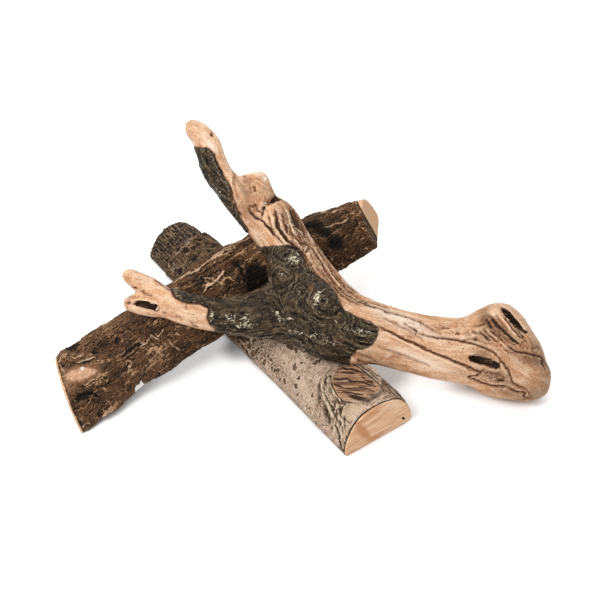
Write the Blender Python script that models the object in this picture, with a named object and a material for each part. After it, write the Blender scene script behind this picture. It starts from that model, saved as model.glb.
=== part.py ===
import math

import bmesh
import bpy
from mathutils import Matrix, Vector, noise

# Ceramic log set: a round bark log on the hearth, a split log leaning over it and a driftwood
# branch lying over both. The logs are solid refractory castings with steel rods inside, and steel
# pins locate each log on the one below. Metres, +Z up, origin on the hearth in the middle of the
# footprint.

# Round log, from its charred rear stub to its sawn front end
ROUND_LENGTH = 0.2935
ROUND_WIDTH = 0.070
ROUND_HEIGHT = 0.042
ROUND_HEADING = math.radians(-53.8)
ROUND_REAR = Vector((-0.1074, 0.1260, 0.0))
STUB_LENGTH = 0.027
STUB_STEP = 0.0030
STEP_RUN = 0.004
KNOT_WIDTH = 0.044
KNOT_LENGTH = 0.039
KNOT_RISE = 0.0035
KNOT_FLARE = 0.005

# Split log, from its foot on the hearth to its lifted right end
SPLIT_LENGTH = 0.303
SPLIT_WIDTH = 0.056
SPLIT_HEIGHT = 0.055
SPLIT_HEADING = math.radians(33.6)
SPLIT_FOOT = Vector((-0.1802, -0.1060, 0.0))
SADDLE_DEPTH = 0.004
FOOT_SINK = 0.003

# Driftwood branch, whose widest part is the hub where its limbs meet
BRANCH_LENGTH = 0.357
HUB_WIDTH = 0.066
KNOB_RISE = 0.029
BRANCH_PLACE = Vector((0.0, -0.050, 0.0))
SLOT_WIDTH = 0.0055
SLOT_DEPTH = 0.008

# Steel inside the castings
ROD_DIAMETER = 0.006
SIDE_ROD_DIAMETER = 0.004
PIN_DIAMETER = 0.006
PIN_LENGTH = 0.026
SPACER_HOLE_DIAMETER = 0.004
STEEL_CLEARANCE = 0.0003

# Castings on castings
SEAT_CLEARANCE = 0.0004
OVERRUN = 0.010

# Coarse relief of the bark and of the worn wood
BARK_RELIEF = 0.0013
BARK_GRAIN = 0.016
BARK_THICKNESS = 0.0010
WOOD_RELIEF = 0.0009
WOOD_GRAIN = 0.014
RIB_RELIEF = 0.0016
RIB_GRAIN = 0.017
BROAD_GRAIN_SHARE = 3.0
RIB_STRETCH_SHARE = 3.0

# Counts
ROUND_RINGS = 46
ROUND_POINTS = 30
SPLIT_RINGS = 48
SPLIT_POINTS = 32
TRUNK_RINGS = 62
TRUNK_POINTS = 22
LIMB_RINGS = 26
LIMB_POINTS = 16
TWIG_RINGS = 12
TWIG_POINTS = 12
KNOT_POINTS = 28
EGG_POINTS = 14
EGG_RINGS = 8
STEEL_SIDES = 12
FINE_STEPS = 12

# Outline of the round log across its length: share of width, share of height
ROUND_SECTION_SHARES = (
    (0.02, 0.0), (0.0, 0.12), (0.0, 0.3), (0.035, 0.52), (0.09, 0.73), (0.17, 0.89), (0.28, 0.98),
    (0.42, 1.0), (0.56, 0.97), (0.69, 0.90), (0.81, 0.75), (0.91, 0.53), (0.98, 0.28), (1.0, 0.1),
    (0.98, 0.0), (0.8, 0.0), (0.6, 0.0), (0.4, 0.0), (0.2, 0.0),
)
# Along the round log: share of length, width share, height share, and the lean of its crest to the back
ROUND_TAPER_SHARES = (
    (0.0, 0.70, 0.74, 0.11), (0.02, 0.74, 0.78, 0.11), (0.06, 0.76, 0.79, 0.11), (0.14, 0.80, 0.80, 0.08),
    (0.3, 0.87, 0.87, 0.05), (0.5, 0.95, 0.94, 0.05), (0.7, 1.0, 0.99, 0.03), (0.85, 1.0, 1.0, 0.03),
    (0.97, 1.0, 1.0, 0.03), (1.0, 0.99, 0.985, 0.03),
)
# Outline of the split log across its length: bark from the front foot to the ridge, then split faces
SPLIT_SECTION_SHARES = (
    (0.0, 0.0), (-0.02, 0.2), (0.01, 0.42), (0.09, 0.64), (0.24, 0.83), (0.46, 0.96), (0.68, 1.0),
    (0.83, 0.95), (0.95, 0.84), (1.0, 0.6), (0.99, 0.3), (0.94, 0.06), (0.8, 0.0), (0.4, 0.0),
)
# Along the split log: share of length, width share, height share, step back and up of the foot line
SPLIT_TAPER_SHARES = (
    (0.0, 0.94, 0.95, 0.02, 0.01), (0.02, 0.96, 0.97, 0.03, 0.01), (0.1, 0.97, 0.98, 0.06, 0.02),
    (0.22, 0.96, 0.97, 0.11, 0.045), (0.35, 0.97, 0.97, 0.13, 0.055), (0.5, 1.02, 1.00, 0.12, 0.055),
    (0.65, 0.97, 0.96, 0.10, 0.035), (0.8, 0.79, 0.82, 0.05, 0.015), (0.92, 0.65, 0.74, 0.01, 0.0),
    (0.985, 0.56, 0.70, 0.0, 0.0), (1.0, 0.54, 0.68, 0.0, 0.0),
)
# How far the cut ends run along the split log for each unit across it and up it
LEFT_CUT_SLOPES = (0.34, -0.04)
RIGHT_CUT_SLOPES = (0.80, -0.32)

# Branch stations: x and y as shares of its length, height as a share of the stack over the knob's
# rise, half width across the broad side and half depth as shares of the hub's half width
TRUNK_SHARES = (
    (-0.270, 0.427, 2.27, 0.19, 0.17), (-0.263, 0.425, 2.28, 0.25, 0.24), (-0.244, 0.419, 2.22, 0.31, 0.28),
    (-0.222, 0.399, 2.11, 0.34, 0.32), (-0.208, 0.364, 1.97, 0.34, 0.35), (-0.186, 0.329, 1.80, 0.33, 0.37),
    (-0.149, 0.297, 1.64, 0.41, 0.42), (-0.105, 0.276, 1.49, 0.57, 0.50), (-0.060, 0.241, 1.35, 0.65, 0.57),
    (-0.024, 0.184, 1.20, 0.62, 0.60), (0.010, 0.102, 1.00, 0.86, 0.66), (0.051, 0.022, 0.83, 1.00, 0.70),
    (0.120, 0.004, 0.64, 0.88, 0.67), (0.197, 0.006, 0.48, 0.76, 0.61), (0.263, 0.002, 0.36, 0.77, 0.61),
    (0.326, -0.001, 0.26, 0.80, 0.61), (0.393, 0.008, 0.14, 0.88, 0.65), (0.450, 0.033, 0.08, 1.18, 0.76),
    (0.509, -0.017, -0.08, 0.92, 0.73), (0.557, -0.050, -0.13, 0.54, 0.56), (0.586, -0.056, -0.13, 0.32, 0.30),
)
SIDE_LIMB_SHARES = (
    (0.030, 0.060, 0.78, 0.86, 0.50), (-0.027, 0.055, 0.71, 0.84, 0.50), (-0.088, 0.053, 0.66, 0.62, 0.43),
    (-0.139, 0.047, 0.67, 0.50, 0.39), (-0.197, 0.036, 0.74, 0.43, 0.36), (-0.254, 0.035, 0.83, 0.41, 0.36),
    (-0.305, 0.052, 0.88, 0.39, 0.35), (-0.334, 0.073, 0.88, 0.34, 0.32), (-0.352, 0.086, 0.88, 0.20, 0.20),
)
UPPER_TWIG_SHARES = (
    (-0.300, 0.074, 0.84, 0.24, 0.22), (-0.329, 0.086, 0.86, 0.28, 0.25), (-0.356, 0.097, 0.93, 0.28, 0.24),
    (-0.380, 0.103, 1.03, 0.25, 0.22), (-0.399, 0.106, 1.12, 0.19, 0.17), (-0.410, 0.104, 1.18, 0.10, 0.10),
)
LOWER_STUB_SHARES = (
    (-0.300, 0.040, 0.86, 0.28, 0.28), (-0.329, 0.049, 0.86, 0.34, 0.30), (-0.357, 0.058, 0.82, 0.33, 0.29),
    (-0.380, 0.064, 0.78, 0.29, 0.26), (-0.398, 0.069, 0.76, 0.22, 0.20), (-0.410, 0.071, 0.75, 0.13, 0.12),
)
SHOULDER_SHARES = (
    (-0.070, 0.235, 1.34, 0.36, 0.40), (-0.089, 0.266, 1.50, 0.47, 0.44), (-0.113, 0.298, 1.68, 0.54, 0.44),
    (-0.125, 0.318, 1.79, 0.52, 0.38), (-0.129, 0.328, 1.85, 0.44, 0.32),
)
ROLLED_STUB_SHARES = (
    (0.150, 0.006, 0.56, 0.24, 0.24), (0.135, -0.049, 0.52, 0.20, 0.20), (0.118, -0.067, 0.50, 0.15, 0.15),
    (0.112, -0.073, 0.495, 0.09, 0.09),
)
# Bark on the trunk's hub and up the left of its upper arm, and on the side limb: rows from and to, then
# degrees round from and to
TRUNK_BARK = ((9.3, 12.6, -70.0, 112.0), (4.2, 9.0, -40.0, 30.0))
SIDE_LIMB_BARK = ((-1.0, 3.6, -200.0, 200.0),)
BARK_EDGE_ROWS = 0.3
BARK_EDGE_DEGREES = 12.0
# Knots that swell from the hub: row along the trunk, degrees round it, share of the hub's half width
HUB_KNOT_SHARES = ((9.8, 59.0, 0.30), (10.85, 104.0, 0.46))
KNOT_SWELL_SHARE = 0.45
# Weathered gouges: the row along the limb and the degrees round it of both ends, then a share of
# the slot's width
TRUNK_GOUGES = (
    ((16.9, 148.0), (17.7, 138.0), 1.1), ((15.8, 81.0), (17.3, 75.0), 1.2), ((7.4, 172.0), (7.4, 116.0), 1.0),
)
LOWER_STUB_GOUGES = (((2.5, 90.0), (0.8, 103.0), 0.9),)
GOUGE_REACH_SHARE = 1.3
# Sawn limb on the round log: lengths of its own back from the front, share of the log's width aside
KNOT_PLACE_SHARES = (0.735, -0.06)
# Height of the round log's crest, and of the split log's top, where the logs cross
CREST_SHARE = 0.93
SPLIT_TOP_SHARE = 0.90
# Rods: margin from each end, place across and up in the round log, then both ends in the split log
ROUND_ROD_SHARES = (0.10, -0.04, 0.33)
SPLIT_ROD_SHARES = ((0.12, 0.50, 0.52), (0.82, 0.36, 0.40))
SPACER_SHARES = (0.22, 0.78)
ROD_LIFT_SHARE = 0.15
# Rows of the branch's stations that its rods reach from and to, and those with a spacer hole
TRUNK_ROD_ROWS = (5, 17)
TRUNK_SPACER_ROWS = (11, 15)
SIDE_ROD_ROWS = (2, 6)
SIDE_SPACER_ROWS = (3,)
BRANCH_PIN_ROW = 8


def read_rows(rows, place, closed=False):
    """Numbers read at a place counted in rows, on a smooth curve through the rows."""
    spans = len(rows) if closed else len(rows) - 1
    span = min(int(place), spans - 1)
    t = place - span
    if closed:
        around = [rows[(span + k) % len(rows)] for k in (-1, 0, 1, 2)]
    else:
        around = [rows[min(max(span + k, 0), len(rows) - 1)] for k in (-1, 0, 1, 2)]
    weights = (
        (-t + 2 * t * t - t ** 3) / 2,
        (2 - 5 * t * t + 3 * t ** 3) / 2,
        (t + 4 * t * t - 3 * t ** 3) / 2,
        (t ** 3 - t * t) / 2,
    )
    return [sum(w * row[k] for w, row in zip(weights, around)) for k in range(len(rows[0]))]


def even_outline(rows, count):
    """A closed outline with its points evenly spaced."""
    steps = FINE_STEPS * count
    dense = [read_rows(rows, k * len(rows) / steps, closed=True) for k in range(steps)]
    lengths = [0.0]
    for a, b in zip(dense, dense[1:] + dense[:1]):
        lengths.append(lengths[-1] + math.dist(a, b))
    out = []
    at = 0
    for step in range(count):
        target = lengths[-1] * step / count
        while lengths[at + 1] <= target:
            at += 1
        share = (target - lengths[at]) / (lengths[at + 1] - lengths[at])
        a, b = dense[at], dense[(at + 1) % len(dense)]
        out.append([p + (q - p) * share for p, q in zip(a, b)])
    return out


def taper_at(rows, share):
    """The taper row at a share of the length, eased between the rows on either side."""
    for low, high in zip(rows, rows[1:]):
        if share <= high[0]:
            break
    t = min(max((share - low[0]) / (high[0] - low[0]), 0.0), 1.0)
    t = t * t * (3 - 2 * t)
    return [a + (b - a) * t for a, b in zip(low, high)]


def collection_named(name):
    found = bpy.data.collections.new(name)
    bpy.context.scene.collection.children.link(found)
    return found


def add_frame(name, parent, place, turn):
    """An empty that places the pieces under it."""
    frame = bpy.data.objects.new(name, None)
    parts.objects.link(frame)
    frame.parent = parent
    frame.location = place
    frame.rotation_euler = turn
    return frame


def add_object(name, bm, collection, parent):
    """An object whose mesh is taken from bm. Cutters are kept out of the render."""
    bmesh.ops.recalc_face_normals(bm, faces=bm.faces)
    mesh = bpy.data.meshes.new(name)
    bm.to_mesh(mesh)
    bm.free()
    made = bpy.data.objects.new(name, mesh)
    collection.objects.link(made)
    made.parent = parent
    if collection is cutters:
        made.hide_render = True
        made.display_type = "WIRE"
    return made


def combine(target, tool, operation):
    step = target.modifiers.new(tool.name, "BOOLEAN")
    step.operation = operation
    step.solver = "EXACT"
    step.object = tool


def loft(rings):
    """A closed skin through rings of points, with a face over each end."""
    bm = bmesh.new()
    made = [[bm.verts.new(point) for point in ring] for ring in rings]
    for a, b in zip(made, made[1:]):
        for k in range(len(a)):
            n = (k + 1) % len(a)
            bm.faces.new((a[k], a[n], b[n], b[k]))
    bm.faces.new(reversed(made[0]))
    bm.faces.new(made[-1])
    return bm


def add_relief(bm, relief, grain, ribs=0.0, floor=None):
    """Raises and sinks the skin along its normals, but for the end faces and what is on the floor."""
    bmesh.ops.recalc_face_normals(bm, faces=bm.faces)
    bm.normal_update()
    ends = {v for f in bm.faces if len(f.verts) > 4 for v in f.verts}
    for v in bm.verts:
        if v in ends or (floor is not None and v.co.z <= floor):
            continue
        broad = noise.noise(v.co / (BROAD_GRAIN_SHARE * grain))
        fine = noise.noise(v.co / grain)
        rib = noise.noise(Vector((v.co.x / RIB_STRETCH_SHARE, v.co.y, v.co.z)) / RIB_GRAIN)
        v.co += v.normal * (relief * (broad + fine) + ribs * (0.5 - 2 * abs(rib)))


def cylinder(start, end, radius):
    """A closed cylinder between two points."""
    bm = bmesh.new()
    axis = end - start
    bmesh.ops.create_cone(
        bm, cap_ends=True, segments=STEEL_SIDES, radius1=radius, radius2=radius, depth=axis.length
    )
    turn = Vector((0, 0, 1)).rotation_difference(axis).to_matrix().to_4x4()
    bmesh.ops.transform(bm, verts=bm.verts, matrix=Matrix.Translation((start + end) / 2) @ turn)
    return bm


def egg(centre, axis, side, half_length, half_width, half_depth):
    """An ellipsoid with its long half along axis and its middle half along side."""
    bm = bmesh.new()
    bmesh.ops.create_uvsphere(bm, u_segments=EGG_POINTS, v_segments=EGG_RINGS, radius=1.0)
    along = axis.normalized()
    deep = along.cross(side).normalized()
    wide = deep.cross(along)
    turn = Matrix((wide, deep, along)).transposed().to_4x4()
    size = Matrix.Diagonal((half_width, half_depth, half_length, 1.0))
    bmesh.ops.transform(bm, verts=bm.verts, matrix=Matrix.Translation(centre) @ turn @ size)
    return bm


def bent_bar(name, points, diameter, collection, parent):
    """A round bar bent through points, made as a mesh from a curve with closed ends."""
    curve = bpy.data.curves.new(name, "CURVE")
    curve.dimensions = "3D"
    curve.bevel_depth = diameter / 2
    curve.bevel_resolution = 2
    curve.use_fill_caps = True
    line = curve.splines.new("POLY")
    line.points.add(len(points) - 1)
    for point, place in zip(line.points, points):
        point.co = (*place, 1.0)
    holder = bpy.data.objects.new(name + "_curve", curve)
    parts.objects.link(holder)
    graph = bpy.context.evaluated_depsgraph_get()
    mesh = bpy.data.meshes.new_from_object(holder.evaluated_get(graph))
    bpy.data.objects.remove(holder)
    bm = bmesh.new()
    bm.from_mesh(mesh)
    bmesh.ops.remove_doubles(bm, verts=bm.verts, dist=STEEL_CLEARANCE / 10)
    return add_object(name, bm, collection, parent)


def swollen(source, name, clearance):
    """A cutter that is a copy of a casting, larger all round by a clearance."""
    bm = bmesh.new()
    bm.from_mesh(source.data)
    bm.normal_update()
    for v in bm.verts:
        v.co += v.normal * clearance
    return add_object(name, bm, cutters, source.parent)


def painted(name, color, roughness, metallic=0.0):
    made = bpy.data.materials.new(name)
    made.use_nodes = True
    shader = made.node_tree.nodes["Principled BSDF"]
    shader.inputs["Base Color"].default_value = (*color, 1.0)
    shader.inputs["Roughness"].default_value = roughness
    shader.inputs["Metallic"].default_value = metallic
    return made


def finish(made, material, crease):
    made.data.materials.append(material)
    made.data.shade_smooth()
    made.data.set_sharp_from_angle(angle=math.radians(crease))


def round_log():
    """D-shaped log with a flat base, a stepped rear stub and a sawn-off limb near the front."""
    outline = even_outline(ROUND_SECTION_SHARES, ROUND_POINTS)
    stub_share = STUB_LENGTH / ROUND_LENGTH
    step_share = STEP_RUN / ROUND_LENGTH
    shares = [k / (ROUND_RINGS - 1) for k in range(ROUND_RINGS)]
    rings = []
    for share in sorted(shares + [stub_share - step_share / 2, stub_share + step_share / 2]):
        _, width_share, height_share, lean = taper_at(ROUND_TAPER_SHARES, share)
        inset = STUB_STEP if share < stub_share else 0.0
        width = ROUND_WIDTH * width_share
        height = ROUND_HEIGHT * height_share
        ring = []
        for across, up in outline:
            y = inset / 2 + (width - 2 * inset) * across + ROUND_WIDTH * (lean * (up - 0.5) - 0.5)
            z = max((height - inset) * up, 0.0)
            ring.append(Vector((ROUND_LENGTH * share, y, z)))
        rings.append(ring)
    bm = loft(rings)
    add_relief(bm, BARK_RELIEF, BARK_GRAIN, floor=BARK_RELIEF)
    body = add_object("round_log", bm, parts, round_frame)

    bm = bmesh.new()
    bmesh.ops.create_cone(
        bm, cap_ends=True, segments=KNOT_POINTS, depth=ROUND_HEIGHT,
        radius1=KNOT_WIDTH / 2 + KNOT_FLARE, radius2=KNOT_WIDTH / 2,
    )
    bmesh.ops.scale(bm, vec=Vector((KNOT_LENGTH / KNOT_WIDTH, 1, 1)), verts=bm.verts)
    along, across = KNOT_PLACE_SHARES
    place = Vector((
        ROUND_LENGTH - along * KNOT_LENGTH, across * ROUND_WIDTH, KNOT_RISE + ROUND_HEIGHT / 2
    ))
    bmesh.ops.translate(bm, vec=place, verts=bm.verts)
    sawn_limb = add_object("sawn_limb", bm, cutters, round_frame)
    combine(body, sawn_limb, "UNION")
    return body, sawn_limb


def split_log():
    """Split log that tapers to the right, with a bark side, split faces and oblique cut ends."""
    outline = even_outline(SPLIT_SECTION_SHARES, SPLIT_POINTS)
    rings = []
    for k in range(SPLIT_RINGS):
        share = k / (SPLIT_RINGS - 1)
        _, width_share, height_share, back, up_step = taper_at(SPLIT_TAPER_SHARES, share)
        ring = []
        for across, up in outline:
            y = SPLIT_WIDTH * (width_share * across + back * (1 - across))
            z = SPLIT_HEIGHT * (height_share * up + up_step * (1 - up))
            lean = (1 - share) * (LEFT_CUT_SLOPES[0] * y + LEFT_CUT_SLOPES[1] * z)
            lean += share * (RIGHT_CUT_SLOPES[0] * y + RIGHT_CUT_SLOPES[1] * z)
            ring.append(Vector((SPLIT_LENGTH * share + lean, y, z)))
        rings.append(ring)
    bm = loft(rings)
    add_relief(bm, BARK_RELIEF, BARK_GRAIN, ribs=RIB_RELIEF)
    return add_object("split_log", bm, parts, split_frame)


def limb_section(rows, place):
    """Centre, across, deep and both half sizes of a limb at a place counted in rows."""
    x, y, z, half_width, half_depth = read_rows(rows, place)
    before = read_rows(rows, max(place - 1.0, 0.0))
    after = read_rows(rows, min(place + 1.0, len(rows) - 1))
    stack = STACK_HEIGHT - KNOB_RISE
    size = Vector((BRANCH_LENGTH, BRANCH_LENGTH, stack))
    centre = Vector((x, y, z)) * size + Vector((0, 0, KNOB_RISE))
    ahead = (Vector(after[:3]) - Vector(before[:3])) * size
    across = ahead.cross(Vector((0, -1, 1))).normalized()
    deep = across.cross(ahead).normalized()
    return centre, across, deep, HUB_WIDTH / 2 * half_width, HUB_WIDTH / 2 * half_depth


def skin_point(rows, place, degrees):
    """A point on a limb's skin: 90 degrees is the middle of its broad side."""
    centre, across, deep, half_width, half_depth = limb_section(rows, place)
    angle = math.radians(degrees)
    return centre + across * half_width * math.cos(angle) + deep * half_depth * math.sin(angle)


def bark_cover(patches, place, turn):
    """How much of the bark's thickness lies at a point of a limb's skin, from 0 on bare wood to 1."""
    cover = 0.0
    for first, last, low, high in patches:
        inside = min(place - first, last - place) / BARK_EDGE_ROWS
        inside = min(inside, min(turn - low, high - turn) / BARK_EDGE_DEGREES)
        cover = max(cover, min(inside, 1.0))
    return cover


def limb(name, rows, rings, points, collection, bark=()):
    """A lofted limb, broad across the side that faces forward and up, with bark on some of it."""
    places = [k * (len(rows) - 1) / (rings - 1) for k in range(rings)]
    turns = [360 * n / points - 180 for n in range(points)]
    sections = []
    for place in places:
        centre = limb_section(rows, place)[0]
        ring = []
        for turn in turns:
            skin = skin_point(rows, place, turn)
            out = (skin - centre).normalized()
            ring.append(skin + out * BARK_THICKNESS * bark_cover(bark, place, turn))
        sections.append(ring)
    bm = loft(sections)
    add_relief(bm, WOOD_RELIEF, WOOD_GRAIN)
    return add_object(name, bm, collection, branch_frame)


def gouge(name, start, end, width, deep):
    """A weathered slot in the wood between two points of the skin."""
    half_length = (end - start).length / 2 * GOUGE_REACH_SHARE
    bm = egg((start + end) / 2, end - start, deep, half_length, SLOT_DEPTH, width / 2)
    return add_object(name, bm, cutters, branch_frame)


def driftwood_branch():
    """Trunk with its side limb, forked tip, broken shoulder, rolled stub and knots, in one casting."""
    body = limb("driftwood_branch", TRUNK_SHARES, TRUNK_RINGS, TRUNK_POINTS, parts, TRUNK_BARK)
    for name, rows, rings, points, bark in (
        ("side_limb", SIDE_LIMB_SHARES, LIMB_RINGS, LIMB_POINTS, SIDE_LIMB_BARK),
        ("upper_twig", UPPER_TWIG_SHARES, TWIG_RINGS, TWIG_POINTS, ()),
        ("lower_stub", LOWER_STUB_SHARES, TWIG_RINGS, TWIG_POINTS, ()),
        ("broken_shoulder", SHOULDER_SHARES, TWIG_RINGS, LIMB_POINTS, ()),
        ("rolled_stub", ROLLED_STUB_SHARES, TWIG_RINGS, TWIG_POINTS, ()),
    ):
        combine(body, limb(name, rows, rings, points, cutters, bark), "UNION")
    for place, turn, share in HUB_KNOT_SHARES:
        centre, across, deep, _, _ = limb_section(TRUNK_SHARES, place)
        radius = HUB_WIDTH / 2 * share
        skin = skin_point(TRUNK_SHARES, place, turn)
        out = (skin - centre).normalized()
        bm = egg(skin, out, across, radius * KNOT_SWELL_SHARE, radius, radius)
        combine(body, add_object("hub_knot", bm, cutters, branch_frame), "UNION")
    for rows, gouges in ((TRUNK_SHARES, TRUNK_GOUGES), (LOWER_STUB_SHARES, LOWER_STUB_GOUGES)):
        for (start, end, share) in gouges:
            centre = limb_section(rows, (start[0] + end[0]) / 2)[0]
            ends = [skin_point(rows, *spot) for spot in (start, end)]
            out = (ends[0] + ends[1]) / 2 - centre
            combine(body, gouge("gouge", ends[0], ends[1], SLOT_WIDTH * share, out), "DIFFERENCE")
    return body


def straight_rod(name, casting, start, end, spacer_shares):
    """A reinforcing rod in its channel, with the holes that the mould's spacers left under it."""
    rod = add_object(name, cylinder(start, end, ROD_DIAMETER / 2), parts, casting.parent)
    more = (end - start).normalized() * STEEL_CLEARANCE
    channel = cylinder(start - more, end + more, ROD_DIAMETER / 2 + STEEL_CLEARANCE)
    combine(casting, add_object(name + "_channel", channel, cutters, casting.parent), "DIFFERENCE")
    for share in spacer_shares:
        top = start + (end - start) * share
        spacer_hole(name, casting, top, top.z + OVERRUN)
    return rod


def spacer_hole(name, casting, top, depth):
    """A hole from a rod's channel straight down through the underside of its casting."""
    bm = cylinder(top, top - Vector((0, 0, depth)), SPACER_HOLE_DIAMETER / 2)
    combine(casting, add_object(name + "_spacer", bm, cutters, casting.parent), "DIFFERENCE")


def bent_rod(name, rows, first, last, diameter, spacers):
    """A rod that follows a limb of the branch, a little above its middle."""
    steps = 2 * (last - first)
    points = []
    for k in range(steps + 1):
        centre, _, _, _, half_depth = limb_section(rows, first + (last - first) * k / steps)
        points.append(centre + Vector((0, 0, ROD_LIFT_SHARE * half_depth)))
    rod = bent_bar(name, points, diameter, parts, branch_frame)
    lead = (points[0] - points[1]).normalized() * STEEL_CLEARANCE
    tail = (points[-1] - points[-2]).normalized() * STEEL_CLEARANCE
    run = [points[0] + lead, *points[1:-1], points[-1] + tail]
    channel = bent_bar(name + "_channel", run, diameter + 2 * STEEL_CLEARANCE, cutters, branch_frame)
    combine(branch_body, channel, "DIFFERENCE")
    for row in spacers:
        top = points[2 * (row - first)]
        spacer_hole(name, branch_body, top, HUB_WIDTH)
    return rod


def locating_pin(name, place, lower, upper):
    """An upright pin at the joint of two castings, half in each, in a socket with clearance."""
    half = Vector((0, 0, PIN_LENGTH / 2))
    more = Vector((0, 0, STEEL_CLEARANCE))
    pin = add_object(name, cylinder(place - half, place + half, PIN_DIAMETER / 2), parts, root)
    bm = cylinder(place - half - more, place + half + more, PIN_DIAMETER / 2 + STEEL_CLEARANCE)
    socket = add_object(name + "_socket", bm, cutters, root)
    combine(lower, socket, "DIFFERENCE")
    combine(upper, socket, "DIFFERENCE")
    return pin


def hearth():
    """A block under the hearth's plane, which trims what stands on it flat."""
    bm = bmesh.new()
    bmesh.ops.create_cube(bm, size=3 * BRANCH_LENGTH)
    bmesh.ops.translate(bm, vec=Vector((0, 0, -1.5 * BRANCH_LENGTH)), verts=bm.verts)
    return add_object("hearth", bm, cutters, root)


for old in list(bpy.data.objects):
    bpy.data.objects.remove(old)

parts = collection_named("ceramic_log_set")
cutters = collection_named("cutters")

# The split log rises from the hearth to a saddle over the round log's crest
split_ahead = Vector((math.cos(SPLIT_HEADING), math.sin(SPLIT_HEADING), 0.0))
split_across = Vector((-math.sin(SPLIT_HEADING), math.cos(SPLIT_HEADING), 0.0))
round_ahead = Vector((math.cos(ROUND_HEADING), math.sin(ROUND_HEADING), 0.0))
split_middle = SPLIT_FOOT + split_across * SPLIT_WIDTH / 2
gap = ROUND_REAR - split_middle
crossing_run = gap.cross(round_ahead).z / split_ahead.cross(round_ahead).z
crossing = split_middle + split_ahead * crossing_run
crest_height = ROUND_HEIGHT * CREST_SHARE
split_rise = math.atan2(crest_height - SADDLE_DEPTH + FOOT_SINK, crossing_run)
STACK_HEIGHT = crest_height - SADDLE_DEPTH + SPLIT_TOP_SHARE * SPLIT_HEIGHT

root = add_frame("log_set", None, Vector(), (0, 0, 0))
round_frame = add_frame("round_log_frame", root, ROUND_REAR, (0, 0, ROUND_HEADING))
split_foot = SPLIT_FOOT - Vector((0, 0, FOOT_SINK))
split_frame = add_frame("split_log_frame", root, split_foot, (0, -split_rise, SPLIT_HEADING))
branch_frame = add_frame("branch_frame", root, BRANCH_PLACE, (0, 0, 0))

round_body, sawn_limb = round_log()
split_body = split_log()
branch_body = driftwood_branch()

# Each casting is bedded on the ones below it and trimmed flat where it stands on the hearth
round_form = swollen(round_body, "round_log_form", SEAT_CLEARANCE)
limb_form = swollen(sawn_limb, "sawn_limb_form", SEAT_CLEARANCE)
split_form = swollen(split_body, "split_log_form", SEAT_CLEARANCE)
floor = hearth()
combine(split_body, round_form, "DIFFERENCE")
combine(branch_body, round_form, "DIFFERENCE")
combine(branch_body, limb_form, "DIFFERENCE")
combine(branch_body, split_form, "DIFFERENCE")
combine(split_body, floor, "DIFFERENCE")
combine(branch_body, floor, "DIFFERENCE")

rod_ends = [
    Vector((ROUND_LENGTH * share, ROUND_ROD_SHARES[1] * ROUND_WIDTH, ROUND_ROD_SHARES[2] * ROUND_HEIGHT))
    for share in (ROUND_ROD_SHARES[0], 1 - ROUND_ROD_SHARES[0])
]
round_rod = straight_rod("round_log_rod", round_body, *rod_ends, SPACER_SHARES)
rod_ends = [
    Vector((SPLIT_LENGTH * along, SPLIT_WIDTH * across, SPLIT_HEIGHT * up))
    for along, across, up in SPLIT_ROD_SHARES
]
split_rod = straight_rod("split_log_rod", split_body, *rod_ends, SPACER_SHARES)
trunk_rod = bent_rod("branch_trunk_rod", TRUNK_SHARES, *TRUNK_ROD_ROWS, ROD_DIAMETER, TRUNK_SPACER_ROWS)
side_rod = bent_rod("branch_side_rod", SIDE_LIMB_SHARES, *SIDE_ROD_ROWS, SIDE_ROD_DIAMETER, SIDE_SPACER_ROWS)

split_pin = locating_pin("split_log_pin", crossing + Vector((0, 0, crest_height)), round_body, split_body)
trunk_seat = limb_section(TRUNK_SHARES, BRANCH_PIN_ROW)[0] + BRANCH_PLACE
trunk_seat.z = STACK_HEIGHT
branch_pin = locating_pin("branch_pin", trunk_seat, split_body, branch_body)

finish(round_body, painted("birch_bark_glaze", (0.30, 0.24, 0.19), 0.85), 40.0)
finish(split_body, painted("oak_bark_glaze", (0.09, 0.055, 0.035), 0.8), 40.0)
finish(branch_body, painted("driftwood_glaze", (0.62, 0.38, 0.22), 0.6), 40.0)
for steel in (round_rod, split_rod, trunk_rod, side_rod, split_pin, branch_pin):
    finish(steel, painted(steel.name + "_steel", (0.45, 0.45, 0.46), 0.4, 1.0), 40.0)

# The whole set is moved so that the origin is in the middle of its footprint
bpy.context.view_layer.update()
graph = bpy.context.evaluated_depsgraph_get()
skin = []
for casting in (round_body, split_body, branch_body):
    formed = casting.evaluated_get(graph)
    skin += [formed.matrix_world @ v.co for v in formed.data.vertices]
middle = [(min(p[k] for p in skin) + max(p[k] for p in skin)) / 2 for k in (0, 1)]
root.location = Vector((-middle[0], -middle[1], 0.0))
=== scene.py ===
import math

import bpy
import numpy as np
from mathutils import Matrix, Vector, noise


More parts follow.
